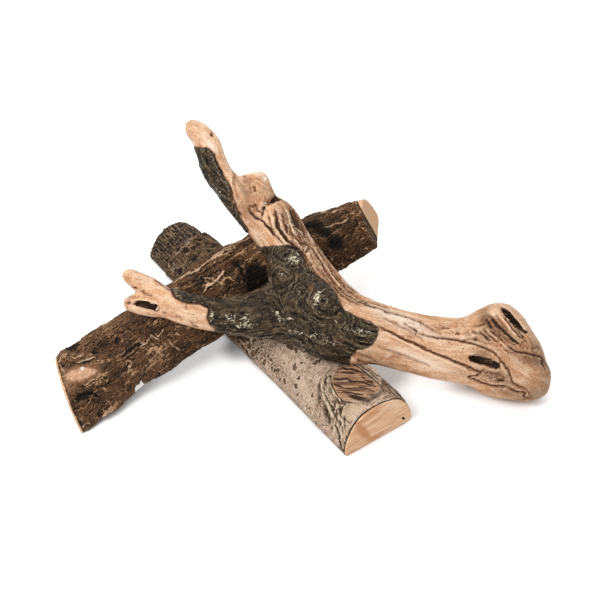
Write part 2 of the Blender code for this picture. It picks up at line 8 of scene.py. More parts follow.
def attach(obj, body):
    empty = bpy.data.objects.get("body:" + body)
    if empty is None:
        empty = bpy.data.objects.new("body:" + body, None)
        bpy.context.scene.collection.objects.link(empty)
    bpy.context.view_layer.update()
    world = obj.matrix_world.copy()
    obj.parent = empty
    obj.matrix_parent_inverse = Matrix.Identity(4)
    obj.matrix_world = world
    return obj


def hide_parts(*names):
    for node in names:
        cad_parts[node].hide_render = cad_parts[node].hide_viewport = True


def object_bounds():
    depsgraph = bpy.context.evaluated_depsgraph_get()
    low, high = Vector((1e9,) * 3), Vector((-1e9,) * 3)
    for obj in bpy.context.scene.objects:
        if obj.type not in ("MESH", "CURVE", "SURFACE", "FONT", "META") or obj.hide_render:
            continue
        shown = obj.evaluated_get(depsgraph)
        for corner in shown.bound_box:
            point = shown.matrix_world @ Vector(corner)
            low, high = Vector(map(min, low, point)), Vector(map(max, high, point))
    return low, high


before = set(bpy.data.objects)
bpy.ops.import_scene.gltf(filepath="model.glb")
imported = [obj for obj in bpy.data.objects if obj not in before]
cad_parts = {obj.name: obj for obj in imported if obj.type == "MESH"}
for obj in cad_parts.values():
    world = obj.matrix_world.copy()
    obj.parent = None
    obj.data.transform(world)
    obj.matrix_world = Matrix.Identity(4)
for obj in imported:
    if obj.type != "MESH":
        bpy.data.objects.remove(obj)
cadBox = [list(corner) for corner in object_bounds()]
bpy.ops.object.select_all(action="DESELECT")
print("frame loaded")

mm = 0.001


# Camera, at the photograph's angle: straight from the front and 45 degrees above the hearth
view = {
    "target": Vector((-0.0044, 0.00095, 0.05)),
    "elevation": math.radians(45),
    "distance": 1.5,
    "frameWidth": 0.51,  # what the frame takes in at the target
    "sensor": 36.0,
    "pixels": 600,
}
viewAhead = Vector((0, math.cos(view["elevation"]), -math.sin(view["elevation"])))
viewUp = Vector((1, 0, 0)).cross(viewAhead)
viewPlace = view["target"] - viewAhead * view["distance"]
bpy.ops.object.camera_add(location=viewPlace, rotation=(math.pi / 2 - view["elevation"], 0, 0))
camera = bpy.context.object
camera.name = "photoCamera"
camera.data.sensor_width = view["sensor"]
camera.data.lens = view["sensor"] * view["distance"] / view["frameWidth"]
bpy.context.scene.camera = camera
bpy.context.scene.view_settings.view_transform = "Standard"


def photoPlace(points):
    offset = points - np.array(viewPlace)
    depth = offset @ np.array(viewAhead)
    scale = view["pixels"] * view["distance"] / view["frameWidth"] / depth
    across = view["pixels"] / 2 + offset[:, 0] * scale
    down = view["pixels"] / 2 - offset @ np.array(viewUp) * scale
    return np.stack([across, down], 1)


pixelMm = view["frameWidth"] / view["pixels"] / mm  # what one pixel covers at the target
print("camera placed")


# Sculpting helpers
casting = {
    "weld": 0.01 * mm,  # how close two corners of a CAD solid's mesh lie to be one
    "soften": 0.5,
}


def castingCopy(name, node, voxel, rounds):
    # a copy of the CAD solid, evenly remeshed, with its edges softened as a casting's are
    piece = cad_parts[node].copy()
    piece.data = piece.data.copy()
    piece.name = name
    piece.parent = None
    bpy.context.scene.collection.objects.link(piece)
    bpy.ops.object.select_all(action="DESELECT")
    piece.select_set(True)
    bpy.context.view_layer.objects.active = piece
    bpy.ops.object.mode_set(mode="EDIT")
    bpy.ops.mesh.select_all(action="SELECT")
    bpy.ops.mesh.remove_doubles(threshold=casting["weld"])
    bpy.ops.object.mode_set(mode="OBJECT")
    even = piece.modifiers.new("even", "REMESH")
    even.mode = "VOXEL"
    even.voxel_size = voxel
    bpy.ops.object.modifier_apply(modifier=even.name)
    soften = piece.modifiers.new("soften", "SMOOTH")
    soften.factor = casting["soften"]
    soften.iterations = rounds
    bpy.ops.object.modifier_apply(modifier=soften.name)
    piece.data.materials.clear()
    return piece


def readPlaces(piece):
    places = np.empty(len(piece.data.vertices) * 3, dtype=np.float32)
    piece.data.vertices.foreach_get("co", places)
    return places.reshape(-1, 3).astype(float)


def readNormals(piece):
    normals = np.empty(len(piece.data.vertices) * 3, dtype=np.float32)
    piece.data.vertex_normals.foreach_get("vector", normals)
    return normals.reshape(-1, 3).astype(float)


def writePlaces(piece, places):
    piece.data.vertices.foreach_set("co", places.astype(np.float32).ravel())
    piece.data.update()


def keep(piece, **layers):
    # values at each vertex, for the material
    for name, values in layers.items():
        kind, field = ("FLOAT", "value") if values.ndim == 1 else ("FLOAT_VECTOR", "vector")
        made = piece.data.attributes.new(name, kind, "POINT")
        made.data.foreach_set(field, values.astype(np.float32).ravel())


def spread(piece, values, rounds):
    # evens values out over the mesh, each vertex towards the mean of its neighbours
    edges = np.empty(len(piece.data.edges) * 2, dtype=np.int32)
    piece.data.edges.foreach_get("vertices", edges)
    one, two = edges.reshape(-1, 2).T
    count = len(piece.data.vertices)
    near = np.bincount(one, minlength=count) + np.bincount(two, minlength=count)
    values = values.reshape(count, -1).copy()
    for _ in range(rounds):
        for k in range(values.shape[1]):
            total = np.bincount(one, values[two, k], count) + np.bincount(two, values[one, k], count)
            values[:, k] = values[:, k] / 2 + total / near / 2
    return values.squeeze()


def sunken(piece, rounds):
    # how far each vertex lies below the surface round it, in mm
    places = readPlaces(piece)
    return ((spread(piece, places, rounds) - places) * readNormals(piece)).sum(1) / mm


def facing(places, normals):
    # 1 where the surface faces the photograph's camera
    towards = np.array(viewPlace) - places
    towards /= np.linalg.norm(towards, axis=1)[:, None]
    return ease((normals * towards).sum(1), 0.0, 0.15)


def shapeOf(piece):
    # each vertex's place and normal, its pixel in the photograph, and whether it faces the camera
    places, normals = readPlaces(piece), readNormals(piece)
    return places, normals, photoPlace(places), facing(places, normals)


def ease(values, low, high):
    t = np.clip((values - low) / (high - low), 0, 1)
    return t * t * (3 - 2 * t)


def rough(points, size, stretch=1.0, octaves=3, shift=0.0):
    # fractal noise between about -1 and 1, long in the first direction by stretch; each octave is 2.1 times
    # finer than the last and fades by the power 0.9
    scaled = points / size / np.array([stretch, 1, 1]) + shift
    return np.array([noise.fractal(Vector(p), 0.9, 2.1, octaves) for p in scaled])


def wavy(spots, points, amount, size):
    # pixel places pushed about by noise, so that what is drawn with them has natural edges
    pushed = np.stack([rough(points, size, 1.0, 3, 21.0), rough(points, size, 1.0, 3, 31.0)], 1)
    return spots + amount * pushed


def cells(points, size, shift=0.0):
    # distance to the nearest of many scattered seeds, in seed spacings
    return np.array([noise.voronoi(Vector(p))[0][0] for p in points / size + shift])


def flakes(points, size, shift=0.0):
    # uneven flakes: the height of each, which side of its middle a place is on, and how near its edge
    height, lean, edge = np.empty((3, len(points)))
    for k, place in enumerate(points / size + shift):
        reach, seeds = noise.voronoi(Vector(place))
        height[k] = noise.cell(seeds[0] * 17.3)
        lean[k] = place[1] - seeds[0][1]
        edge[k] = reach[1] - reach[0]
    return height, lean, edge


def curveThrough(points, steps=4):
    # a smooth line through a few points
    points = [np.array(p, dtype=float) for p in points]
    ends = [points[0]] + points + [points[-1]]
    line = []
    for a, b, c, d in zip(ends, ends[1:], ends[2:], ends[3:]):
        for k in range(steps):
            t = k / steps
            line.append(
                b + (c - a) * t / 2 + (2 * a - 5 * b + 4 * c - d) * t * t / 2
                + (3 * b - a - 3 * c + d) * t ** 3 / 2
            )
    return np.array(line + [points[-1]])


def lineDistance(spots, line):
    # distance to a line of pixels, the side it is on, and how far along the line it is
    nearest = np.full(len(spots), 1e6)
    side = np.ones(len(spots))
    along = np.zeros(len(spots))
    for k, (a, b) in enumerate(zip(line, line[1:])):
        run = b - a
        share = np.clip((spots - a) @ run / (run @ run + 1e-9), 0, 1)
        offset = spots - a - share[:, None] * run
        distance = np.hypot(offset[:, 0], offset[:, 1])
        closer = distance < nearest
        nearest[closer] = distance[closer]
        turn = run[0] * (spots[:, 1] - a[1]) - run[1] * (spots[:, 0] - a[0])
        side[closer] = np.where(turn[closer] < 0, -1, 1)
        along[closer] = (k + share[closer]) / (len(line) - 1)
    return nearest, side, along


def areaDistance(spots, outline):
    # distance in pixels to a closed outline, positive inside it
    outline = np.array(outline, dtype=float)
    closed = np.vstack([outline, outline[:1]])
    nearest = lineDistance(spots, closed)[0]
    inside = np.zeros(len(spots), dtype=bool)
    for a, b in zip(closed, closed[1:]):
        crosses = (a[1] > spots[:, 1]) != (b[1] > spots[:, 1])
        at = a[0] + (spots[:, 1] - a[1]) * (b[0] - a[0]) / (b[1] - a[1] + 1e-9)
        inside ^= crosses & (spots[:, 0] < at)
    return np.where(inside, nearest, -nearest)


# how the lines and areas that are placed by pixels of the photograph are drawn
drawing = {
    "lineReach": 9,  # pixels round a line, or an area, that it can still change
    "areaReach": 6,
    "taper": 6,  # how fast a line narrows towards its ends, and how wide its very end is
    "tip": 0.35,
    "fade": 1.5,  # pixels from its edge where its colour stops
    "lineFar": 12.0,  # mm, for what lies outside them all
    "areaFar": 4.0,
}


def nearTo(spots, corners, margin, seen, least):
    # which places lie within a margin of some pixels and are seen
    inside = (spots > corners.min(0) - margin).all(1) & (spots < corners.max(0) + margin).all(1)
    return np.flatnonzero(inside & (seen > least))


def drawLines(spots, seen, lines):
    # grooves or ridges along lines of pixels: depth, and how far outside the nearest line, both in mm
    depth = np.zeros(len(spots))
    outside = np.full(len(spots), drawing["lineFar"])
    nearestEdge = np.full(len(spots), 1e6)
    for points, width, cut in lines:
        line = curveThrough(points)
        chosen = nearTo(spots, line, drawing["lineReach"], seen, 0)
        distance, _, along = lineDistance(spots[chosen], line)
        # thinner towards both ends
        fromTip = np.minimum(along, 1 - along)
        taper = np.clip(fromTip * drawing["taper"] + drawing["tip"], 0, 1) if len(points) > 2 else 1.0
        edge = distance - width / 2 * taper
        profile = cut * np.exp(-(np.maximum(edge, 0) ** 2)) * taper * seen[chosen]
        deeper = np.abs(profile) > np.abs(depth[chosen])
        depth[chosen[deeper]] = profile[deeper]
        closer = (edge < nearestEdge[chosen]) & (seen[chosen] > 0.3)
        nearestEdge[chosen[closer]] = edge[closer]
        half = width / 2 * taper - 2.0 * np.maximum(edge - drawing["fade"], 0)
        outside[chosen[closer]] = (distance * pixelMm - np.maximum(half * pixelMm, -3))[closer]
    return depth, outside


def carveLines(piece, spots, seen, look, names):
    # what several sets of lines cut or raise, each set kept for the material too
    relief = np.zeros(len(spots))
    for name in names:
        depth, outside = drawLines(spots, seen, look[name])
        relief += depth
        keep(piece, **{name: outside})
    return relief


def carve(piece, places, normals, relief):
    # moves the surface out by so many mm, but stays on the hearth and inside the solids' own box
    writePlaces(piece, np.clip(places + normals * (relief * mm)[:, None], *cadBox))


def inAreas(spots, seen, outlines):
    # how far inside the nearest of several outlines of pixels, in mm
    inside = np.full(len(spots), -drawing["areaFar"])
    for outline in outlines:
        corners = np.array(outline, dtype=float)
        chosen = nearTo(spots, corners, drawing["areaReach"], seen, 0.2)
        inside[chosen] = np.maximum(inside[chosen], areaDistance(spots[chosen], corners) * pixelMm)
    return inside


def dabs(spots, seen, marks, power=1.0):
    # soft round dabs at pixels: total of each one's strength
    total = np.zeros(len(spots))
    for across, down, wide, high, turn, strength in marks:
        angle = math.radians(turn)
        offset = spots - np.array([across, down])
        one = offset[:, 0] * math.cos(angle) + offset[:, 1] * math.sin(angle)
        two = offset[:, 1] * math.cos(angle) - offset[:, 0] * math.sin(angle)
        total += strength * np.exp(-(((one / wide) ** 2 + (two / high) ** 2) ** power)) * seen
    return total


def dotAt(spots, across, down, radius):
    # how far inside a small round dot, in pixels
    return radius - np.hypot(spots[:, 0] - across, spots[:, 1] - down)


def logPlaces(places, heading, rise, foot):
    # places along, across and up a straight log, from its foot
    ahead = np.array([math.cos(heading) * math.cos(rise), math.sin(heading) * math.cos(rise), math.sin(rise)])
    left = np.array([-math.sin(heading), math.cos(heading), 0.0])
    up = np.cross(ahead, left)
    offset = places - np.array(foot)
    return np.stack([offset @ ahead, offset @ left, offset @ up], 1)


# Material helpers


def linear(code):
    parts = [int(code[k : k + 2], 16) / 255 for k in (1, 3, 5)]
    return [p / 12.92 if p <= 0.04045 else ((p + 0.055) / 1.055) ** 2.4 for p in parts] + [1.0]


def setSockets(tree, node, inputs):
    # links a socket to another node's output, or sets it to a colour or number
    for socket, value in inputs.items():
        if isinstance(value, bpy.types.NodeSocket):
            tree.links.new(value, node.inputs[socket])
        else:
            node.inputs[socket].default_value = linear(value) if isinstance(value, str) else value


def addNode(tree, kind, inputs, output=0, **settings):
    # a node with its settings and links; gives back one of its outputs
    made = tree.nodes.new("ShaderNode" + kind)
    for name, value in settings.items():
        setattr(made, name, value)
    setSockets(tree, made, inputs)
    return made.outputs[output]


def newMaterial(name):
    made = bpy.data.materials.new(name)
    made.use_nodes = True
    return made, made.node_tree, made.node_tree.nodes["Principled BSDF"]


def layCoats(tree, colour, coats):
    # coats of paint, each over the last where its value runs from one number to the other
    for value, low, high, strength, paint in coats:
        share = addNode(
            tree, "MapRange", {"Value": value, "From Min": low, "From Max": high, "To Max": strength},
            interpolation_type="SMOOTHSTEP",
        )
        colour = addNode(tree, "Mix", {0: share, 6: colour, 7: paint}, 2, data_type="RGBA")
    return colour


# Round log: pale bark with eye marks, sawn front end, sawn limb and charred stub
roundLook = {
    "voxel": 0.935 * mm,
    "heading": math.radians(-53.8),
    "foot": (-0.1118, 0.1270, 0.0),
    "length": 293.5,  # mm, as are the next two
    "stub": 27.0,
    "knotTop": 45.5,
    # in pixels of the photograph
    "knotFace": (
        (330.6, 373.5), (335, 369.3), (341.6, 366.3), (349.5, 364.6), (355, 366.5), (361, 370.8), (371, 378.6),
        (378.8, 385.8), (383.4, 393), (380.6, 398.2), (368.2, 401.6), (356, 402.4), (346.5, 401.6), (338.8, 395.6),
        (333.4, 387), (331, 380),
    ),
    "palePatch": (
        (343.7, 409.5), (349.3, 403.2), (360.5, 403.6), (363.3, 406.8), (355, 415), (350.5, 424), (347, 434),
        (343.5, 436), (346, 424), (344, 416),
    ),
    # bark right of the sawn limb, and the wrinkled collar left of it
    "besideKnot": ((341, 366), (352, 360), (366, 366), (388, 381), (402, 397), (414, 414), (404, 402), (393, 397),
                   (383, 399), (384, 392), (378, 384), (368, 375), (358, 367), (349, 363)),
    "collarBark": ((331, 367), (322, 376), (317, 388), (317, 400), (322, 412), (330, 428), (338, 446), (344, 456),
                   (347, 436), (354, 419), (363, 408), (350, 402), (338, 395), (331, 383)),
    "collarLine": (
        (349, 363), (341, 365), (334, 369.5), (330.6, 376), (331.2, 386), (335, 395), (340, 402), (345.5, 406),
        (343.5, 416), (342.6, 428), (343, 440), (343.5, 453),
    ),
    "sawLines": (
        (((340.2, 367.6), (349, 369.2), (357, 370.6), (364, 373)), 1.2, -0.35),
        (((342.3, 372.5), (350, 372.8), (355, 374)), 0.8, -0.25),
        (((333.9, 378.4), (340, 379.6), (345, 378.6), (351, 380.8), (358, 381.4), (364, 382.5), (371, 385)),
         1.1, -0.35),
        (((335.3, 385.1), (343, 387.3), (352, 388.6)), 0.9, -0.25),
        (((343, 391.5), (350, 392.4), (356, 393.4), (363.3, 395)), 1.0, -0.3),
        (((359, 387.5), (367, 389), (375, 391.5)), 0.8, -0.25),
        (((361, 376.5), (369, 381), (376, 387)), 0.7, -0.2),
    ),
    # dark folds of bark down the left of the sawn limb, and the long checks beside them
    "folds": (
        (((329.8, 373.8), (330.2, 380), (332.5, 387), (338, 396), (346, 402.5), (357, 403)), 1.6, -0.9),
        (((329, 375), (325, 380), (324, 388), (326, 396), (330, 405), (334, 413)), 1.5, -0.9),
        (((321, 377), (318.5, 386), (319, 394), (323, 404), (328, 413), (333, 424)), 1.2, -0.7),
        (((333.2, 400), (334.5, 404), (333.2, 408)), 2.6, -0.9),
        (((331, 409), (333.6, 412.5), (334.5, 417)), 2.2, -0.8),
        (((336.5, 399.5), (339, 405), (339.5, 411), (342, 417), (346, 419.5)), 1.5, -0.9),
        (((335, 416), (338, 421), (341.5, 427)), 1.6, -0.8),
        (((335.3, 425.8), (337, 432), (338.5, 439)), 2.0, -0.9),
        (((326, 411), (328.5, 418), (331, 424)), 2.4, -0.7),
        (((341, 412), (341.8, 408), (346, 403.8)), 1.1, -0.6),
        (((338.5, 440), (341, 447), (343, 452)), 2.4, -0.6),
        (((344, 415), (345.5, 420), (349, 423.5), (352.5, 420)), 1.3, -0.6),
        (((232, 336), (238, 341), (243, 348), (250, 355), (257, 362)), 1.4, -0.5),
        (((243, 336), (248, 341), (252, 347), (259, 351)), 1.2, -0.5),
        (((349, 363.6), (357, 364.8), (366, 369.6), (376, 374.6), (386, 381), (395, 390.5), (406, 403)), 1.3, -0.6),
        (((352, 366.5), (362, 371), (372, 378.5), (380, 385.5), (387, 394)), 0.9, -0.4),
        (((366, 371.4), (378, 378.8), (388, 387), (396, 396.5)), 0.8, -0.4),
        (((376, 372.8), (388, 380.4), (398, 391), (408, 403)), 0.9, -0.4),
    ),
    # pale lines along the collar ridges, the bark ring beside the sawn limb and the charred stub's rim; the short
    # strokes high on the ring are a painted highlight
    "whiteEdges": (
        (((340, 366.2), (349, 363.4), (358, 367.6), (368, 375.2), (377, 383)), 1.0, 0.5),
        (((374.5, 381.5), (379.5, 386.8), (382.6, 392)), 1.4, 0.5),
        (((322.5, 379), (321.6, 388), (324.5, 398), (329.5, 408), (333, 418)), 1.6, 0.5),
        (((327.4, 384), (328.5, 393), (332.5, 401)), 1.3, 0.4),
        (((337, 409), (339, 416), (343.5, 423), (343, 432)), 1.4, 0.4),
        (((331.5, 420), (334, 428), (336.5, 436)), 1.2, 0.4),
        (((172.5, 258), (179, 252), (185, 246), (191, 240.8)), 1.0, 0.4),
        (((169, 262), (170.5, 268), (174, 274)), 0.6, 0.3),
        (((168, 225.5), (171, 228), (174, 231.5)), 0.9, 0.3),
    ),
    # eye marks: place, half sizes, turn and strength
    "marks": (
        (289.6, 346.5, 3.6, 2.2, 30, 1), (296, 350.3, 1.8, 3.0, 0, 1), (284.3, 363.2, 1.2, 1.0, 0, 1),
        (294.5, 367.3, 1.6, 3.2, 0, 1), (298.3, 378, 2.0, 1.7, 0, 0.9), (295.5, 386.6, 1.5, 2.4, 0, 1),
        (317, 361.5, 1.3, 5.6, 62, 1), (284.3, 381.1, 1.4, 2.6, -10, 1), (280.3, 380.3, 1.0, 2.0, 20, 0.9),
        (274.8, 370.4, 1.3, 1.8, 15, 1), (264.3, 362.9, 1.5, 3.0, 0, 1), (261.1, 358.6, 2.2, 1.2, -30, 1),
        (253, 353.4, 2.4, 2.8, 0, 1), (257.5, 349.4, 1.3, 3.2, 30, 1), (254, 340.4, 2.8, 1.1, -35, 1),
        (266.4, 337.4, 3.0, 1.4, -45, 1), (268.6, 355.8, 1.1, 2.6, 0, 0.9), (271, 360.3, 1.2, 1.8, 15, 0.9),
        (297.4, 395, 1.0, 3.0, 10, 0.9), (306.4, 405.7, 1.2, 1.8, 0, 0.8), (308.9, 408.4, 1.2, 1.2, 0, 0.9),
        (312, 395.5, 1.1, 2.6, 15, 0.8), (249, 346.5, 1.5, 3.0, -25, 1), (246, 339.5, 4.0, 2.2, -20, 1),
        (239.5, 336.5, 4.0, 2.0, 20, 1), (247, 352, 1.2, 2.2, 0, 1), (256.6, 357.8, 1.0, 2.0, 0, 0.9),
        (301, 362.4, 1.0, 1.6, 0, 0.6), (281, 350, 1.0, 0.9, 0, 0.7), (305, 372, 0.9, 2.0, 10, 0.5),
        (290, 398, 0.8, 1.8, 0, 0.6), (303, 416, 1.0, 2.2, 20, 0.6), (316, 424, 1.2, 3.0, 25, 0.7),
    ),
    # where the bark has small curling flakes
    "curled": (
        (244, 341, 16, 13, 20, 2.2), (257, 354, 13, 11, 40, 1.5), (271, 365, 15, 6, 45, 1.0),
        (292, 390, 18, 5, 47, 0.6), (322, 424, 16, 5, 50, 0.5), (318, 361, 7, 3, -30, 0.6),
        (280, 350, 10, 6, 0, 0.35), (325, 400, 7, 16, -10, 0.5),
    ),
    # darker brown stains, with painted shade in the band left of the collar folds; and paler places (below 0), mostly a
    # painted highlight along the top of the log
    "stains": (
        (238, 337, 6, 4, 15, 0.8), (326, 413, 3.4, 9, -12, 0.8), (318, 396, 2.6, 10, -5, 0.7),
        (307, 372, 10, 6, 20, 0.25), (300, 388, 12, 8, 45, -0.7), (307, 403, 7, 8, 0, -0.6),
        (275, 349, 12, 7, 20, -0.2), (358, 398, 10, 2.2, 14, 2.0), (372, 395, 7, 4, 10, 0.7),
        (262, 366, 12, 3, 45, 0.35), (290, 392, 16, 3, 48, 0.3), (292, 371, 26, 6, 48, -0.4),
        (363, 431, 14, 5, 48, -1.3), (356, 437, 8, 8, 48, -0.4), (366, 382, 16, 12, 0, 0.3),
    ),
    # place of the small hole in the sawn end, which is not cut but painted black as painted shade
    "endHole": (403.3, 418.4),
    "rearBark": (120, 200),  # mm from the front, between which the bark turns wrinkled and pitted
    "sawTurn": math.radians(9),  # saw marks on the limb, and grain of the sawn end
    "endTurn": math.radians(-32),
    # how high each form stands or how deep it is cut, in mm
    "heights": {
        "broad": 0.8, "wrinkle": 0.22, "rearWrinkle": 0.35, "fold": 0.2, "eye": 0.8, "mark": 1.2, "markRim": 0.5,
        "streak": 0.9, "collar": 0.45, "spot": 0.6, "curl": 0.75, "knotLip": 0.7, "lines": 0.7, "patch": 0.5,
    },
}
roundLog = castingCopy("roundLog", "round_log", roundLook["voxel"], 3)
places, normals, spots, seen = shapeOf(roundLog)
heights = roundLook["heights"]
local = logPlaces(places, roundLook["heading"], 0.0, roundLook["foot"]) / mm
fromFront = roundLook["length"] - local[:, 0]
fromStub = local[:, 0] - roundLook["stub"]
onTop = ease(normals[:, 2], 0.55, 0.8) * ease(local[:, 2], roundLook["knotTop"] - 5, roundLook["knotTop"] - 2)
knotEdge = np.where(onTop > 0.4, inAreas(spots, seen, [roundLook["knotFace"]]), -4.0)
patch = np.where(knotEdge < 0, inAreas(wavy(spots, local, 2.0, 4.0), seen, [roundLook["palePatch"]]), -4.0)
besideKnot, collarBark = [inAreas(spots, seen, [roundLook[area]]) for area in ("besideKnot", "collarBark")]
barkShare = ease(fromFront, 0.6, 2.2) * ease(-knotEdge, 0.2, 1.0) * ease(local[:, 2], 0.3, 2.5)
stripped = ease(-fromStub, -0.6, 0.6)
rearward = ease(fromFront, *roundLook["rearBark"])
warped = local + 1.6 * rough(local, 7, 1.0, 2)[:, None]
wrinkle = rough(warped, 3.6, 1.0, 3, 4.0)
fold = 1 - 2 * np.abs(rough(warped, 5.5, 1.4, 2, 9.0))
relief = heights["broad"] * rough(local, 15, 1.5)
relief += (heights["wrinkle"] + heights["rearWrinkle"] * rearward) * wrinkle + heights["fold"] * rearward * fold
# eye marks: those of the photograph near the front, and scattered ones elsewhere
marks = np.clip(dabs(wavy(spots, local, 1.5, 2.4), seen, roundLook["marks"], 1.1), 0, 1)
eye = ease(0.34 - cells(warped * np.array([1.0, 0.55, 0.55]), 7.0), 0.0, 0.14)
eye *= ease(rough(local, 22, 1.0, 2, 3.0), -0.05, 0.25) * (1 - 0.85 * ease(150 - fromFront, 0, 30) * seen)
relief -= heights["eye"] * eye + heights["mark"] * marks
relief += heights["markRim"] * ease(marks, 0.02, 0.2) * (1 - ease(marks, 0.2, 0.5))
relief = relief * (1 - stripped) + stripped * (heights["streak"] * rough(local, 2.3, 9.0, 3) + 0.3 * wrinkle)
# folds of the collar run round the sawn limb and down to the front corner
collarLine = curveThrough(roundLook["collarLine"])
reach, side, along = lineDistance(wavy(spots, local, 1.6, 6.0), collarLine)
folded = 2.4 * rough(np.column_stack([along * 8, reach * side / 2.6, 0 * along]), 1.0, 1.0, 2)
collarShare = ease(collarBark, -1.0, 1.5) * ease(-patch, 0.0, 1.0)
relief += heights["collar"] * collarShare * np.clip(folded, -1.2, 1.2)
# dark pits of two sizes, towards the rear
spotReach = cells(warped * np.array([0.9, 0.65, 0.65]), 6.0, 3.0) + 0.12 * wrinkle
smallReach = cells(warped * np.array([1.0, 0.7, 0.7]), 3.4, 8.0) + 0.3 * ease(rough(local, 12, 1.0, 2, 6.0), 0.2, -0.3)
spot = np.maximum(ease(spotReach, 0.4, 0.26), 0.8 * ease(smallReach, 0.34, 0.22)) * rearward
relief -= heights["spot"] * spot
# curls: small steps between the levels of a slow noise
curl = 2.5 * rough(warped, 6.5, 1.0, 2, 6.0)
curled = np.clip(dabs(wavy(spots, local, 4.0, 9.0), seen, roundLook["curled"]) + rearward + 0.35 * (1 - seen), 0, 1)
relief += heights["curl"] * curled * (curl - np.floor(curl) - 0.5)
relief *= barkShare
relief += heights["knotLip"] * np.exp(-(((-knotEdge - 1.6) / 1.1) ** 2)) * (knotEdge > -4) * onTop
drawn = wavy(spots, local, 1.0, 5.0)
relief += heights["lines"] * carveLines(roundLog, drawn, seen, roundLook, ("sawLines", "folds", "whiteEdges"))
relief -= heights["patch"] * ease(patch, -0.3, 0.5)
carve(roundLog, places, normals, relief)
holeAcross, holeDown = (drawn - np.array(roundLook["endHole"])).T
keep(
    roundLog, logPlace=local, fromFront=fromFront, fromStub=fromStub, knotEdge=knotEdge, patch=patch,
    besideKnot=besideKnot, collarBark=collarBark, folded=collarShare * folded, spot=spot, curl=curl, curled=curled,
    eye=np.maximum(eye, marks), stain=dabs(spots, seen, roundLook["stains"]),
    endHole=1.5 - np.hypot(holeAcross * 0.8 + holeDown * 0.6, holeDown * 1.4 - holeAcross * 0.3) - (1 - seen) * 9,
    sunken=sunken(roundLog, 3), deep=sunken(roundLog, 14),
)
print("round log carved", len(roundLog.data.polygons))

# Cast refractory ceramic, painted by hand as bark and washed dark, with painted shade and painted highlights over its
# relief: matt, with no clear coat
roundBark, tree, shader = newMaterial("paintedCastCeramicPaleBark")
local = addNode(tree, "Attribute", {}, "Vector", attribute_name="logPlace")
up = addNode(tree, "SeparateXYZ", {"Vector": local}, "Z")
(
    sunk, deep, eyeMark, front, stub, stain, knotIn, patchIn, holeIn, besideIn, collarIn, folded, spotIn, curl, curled,
    sawLine, foldLine, whiteLine,
) = [
    addNode(tree, "Attribute", {}, "Fac", attribute_name=name)
    for name in (
        "sunken", "deep", "eye", "fromFront", "fromStub", "stain", "knotEdge", "patch", "endHole", "besideKnot",
        "collarBark", "folded", "spot", "curl", "curled", "sawLines", "folds", "whiteEdges",
    )
]
object3d = addNode(tree, "TexCoord", {}, "Object")
hairPlace, charPlace, sawPlace, bandPlace, finePlace = [
    addNode(tree, "Mapping", {"Vector": place, "Rotation": turn, "Scale": scale})
    for place, turn, scale in (
        (local, (0, 0, 0), (1 / 1.3, 1 / 6, 1 / 6)),  # hairlines that run round the log, as on birch
        (local, (0, 0, 0), (1 / 16, 1 / 1.9, 1 / 1.9)),
        (object3d, (0, 0, roundLook["sawTurn"]), (40, 520, 40)),
        (local, (roundLook["endTurn"], 0, 0), (1 / 9, 1 / 26, 1 / 5)),
        (local, (roundLook["endTurn"], 0, 0), (1 / 3, 1 / 11, 1 / 1.3)),
    )
]
# place, size in mm, detail, roughness and distortion of each pattern
grit, mottle, speckle, dirt, hairs, charStreak, sawGrain, endBand, endFine = [
    addNode(
        tree, "TexNoise",
        {"Vector": place, "Scale": 1 / size, "Detail": detail, "Roughness": roughness, "Distortion": twist}, "Fac",
    )
    for place, size, detail, roughness, twist in (
        (local, 0.8, 3.0, 0.7, 0), (local, 9, 4.0, 0.6, 0), (local, 1.7, 5.0, 0.7, 0.6), (local, 4.5, 6.0, 0.72, 0.8),
        (hairPlace, 1, 4.0, 0.5, 0.5), (charPlace, 1, 4.0, 0.65, 0), (sawPlace, 1, 3.0, 0.5, 0.7),
        (bandPlace, 1, 3.0, 0.5, 0.4), (finePlace, 1, 3.0, 0.5, 0.3),
    )
]
curlStep = addNode(tree, "Math", {0: curl}, operation="FRACT")
dirty = addNode(
    tree, "MapRange", {"Value": front, "From Min": 110.0, "From Max": 205.0}, interpolation_type="SMOOTHSTEP"
)
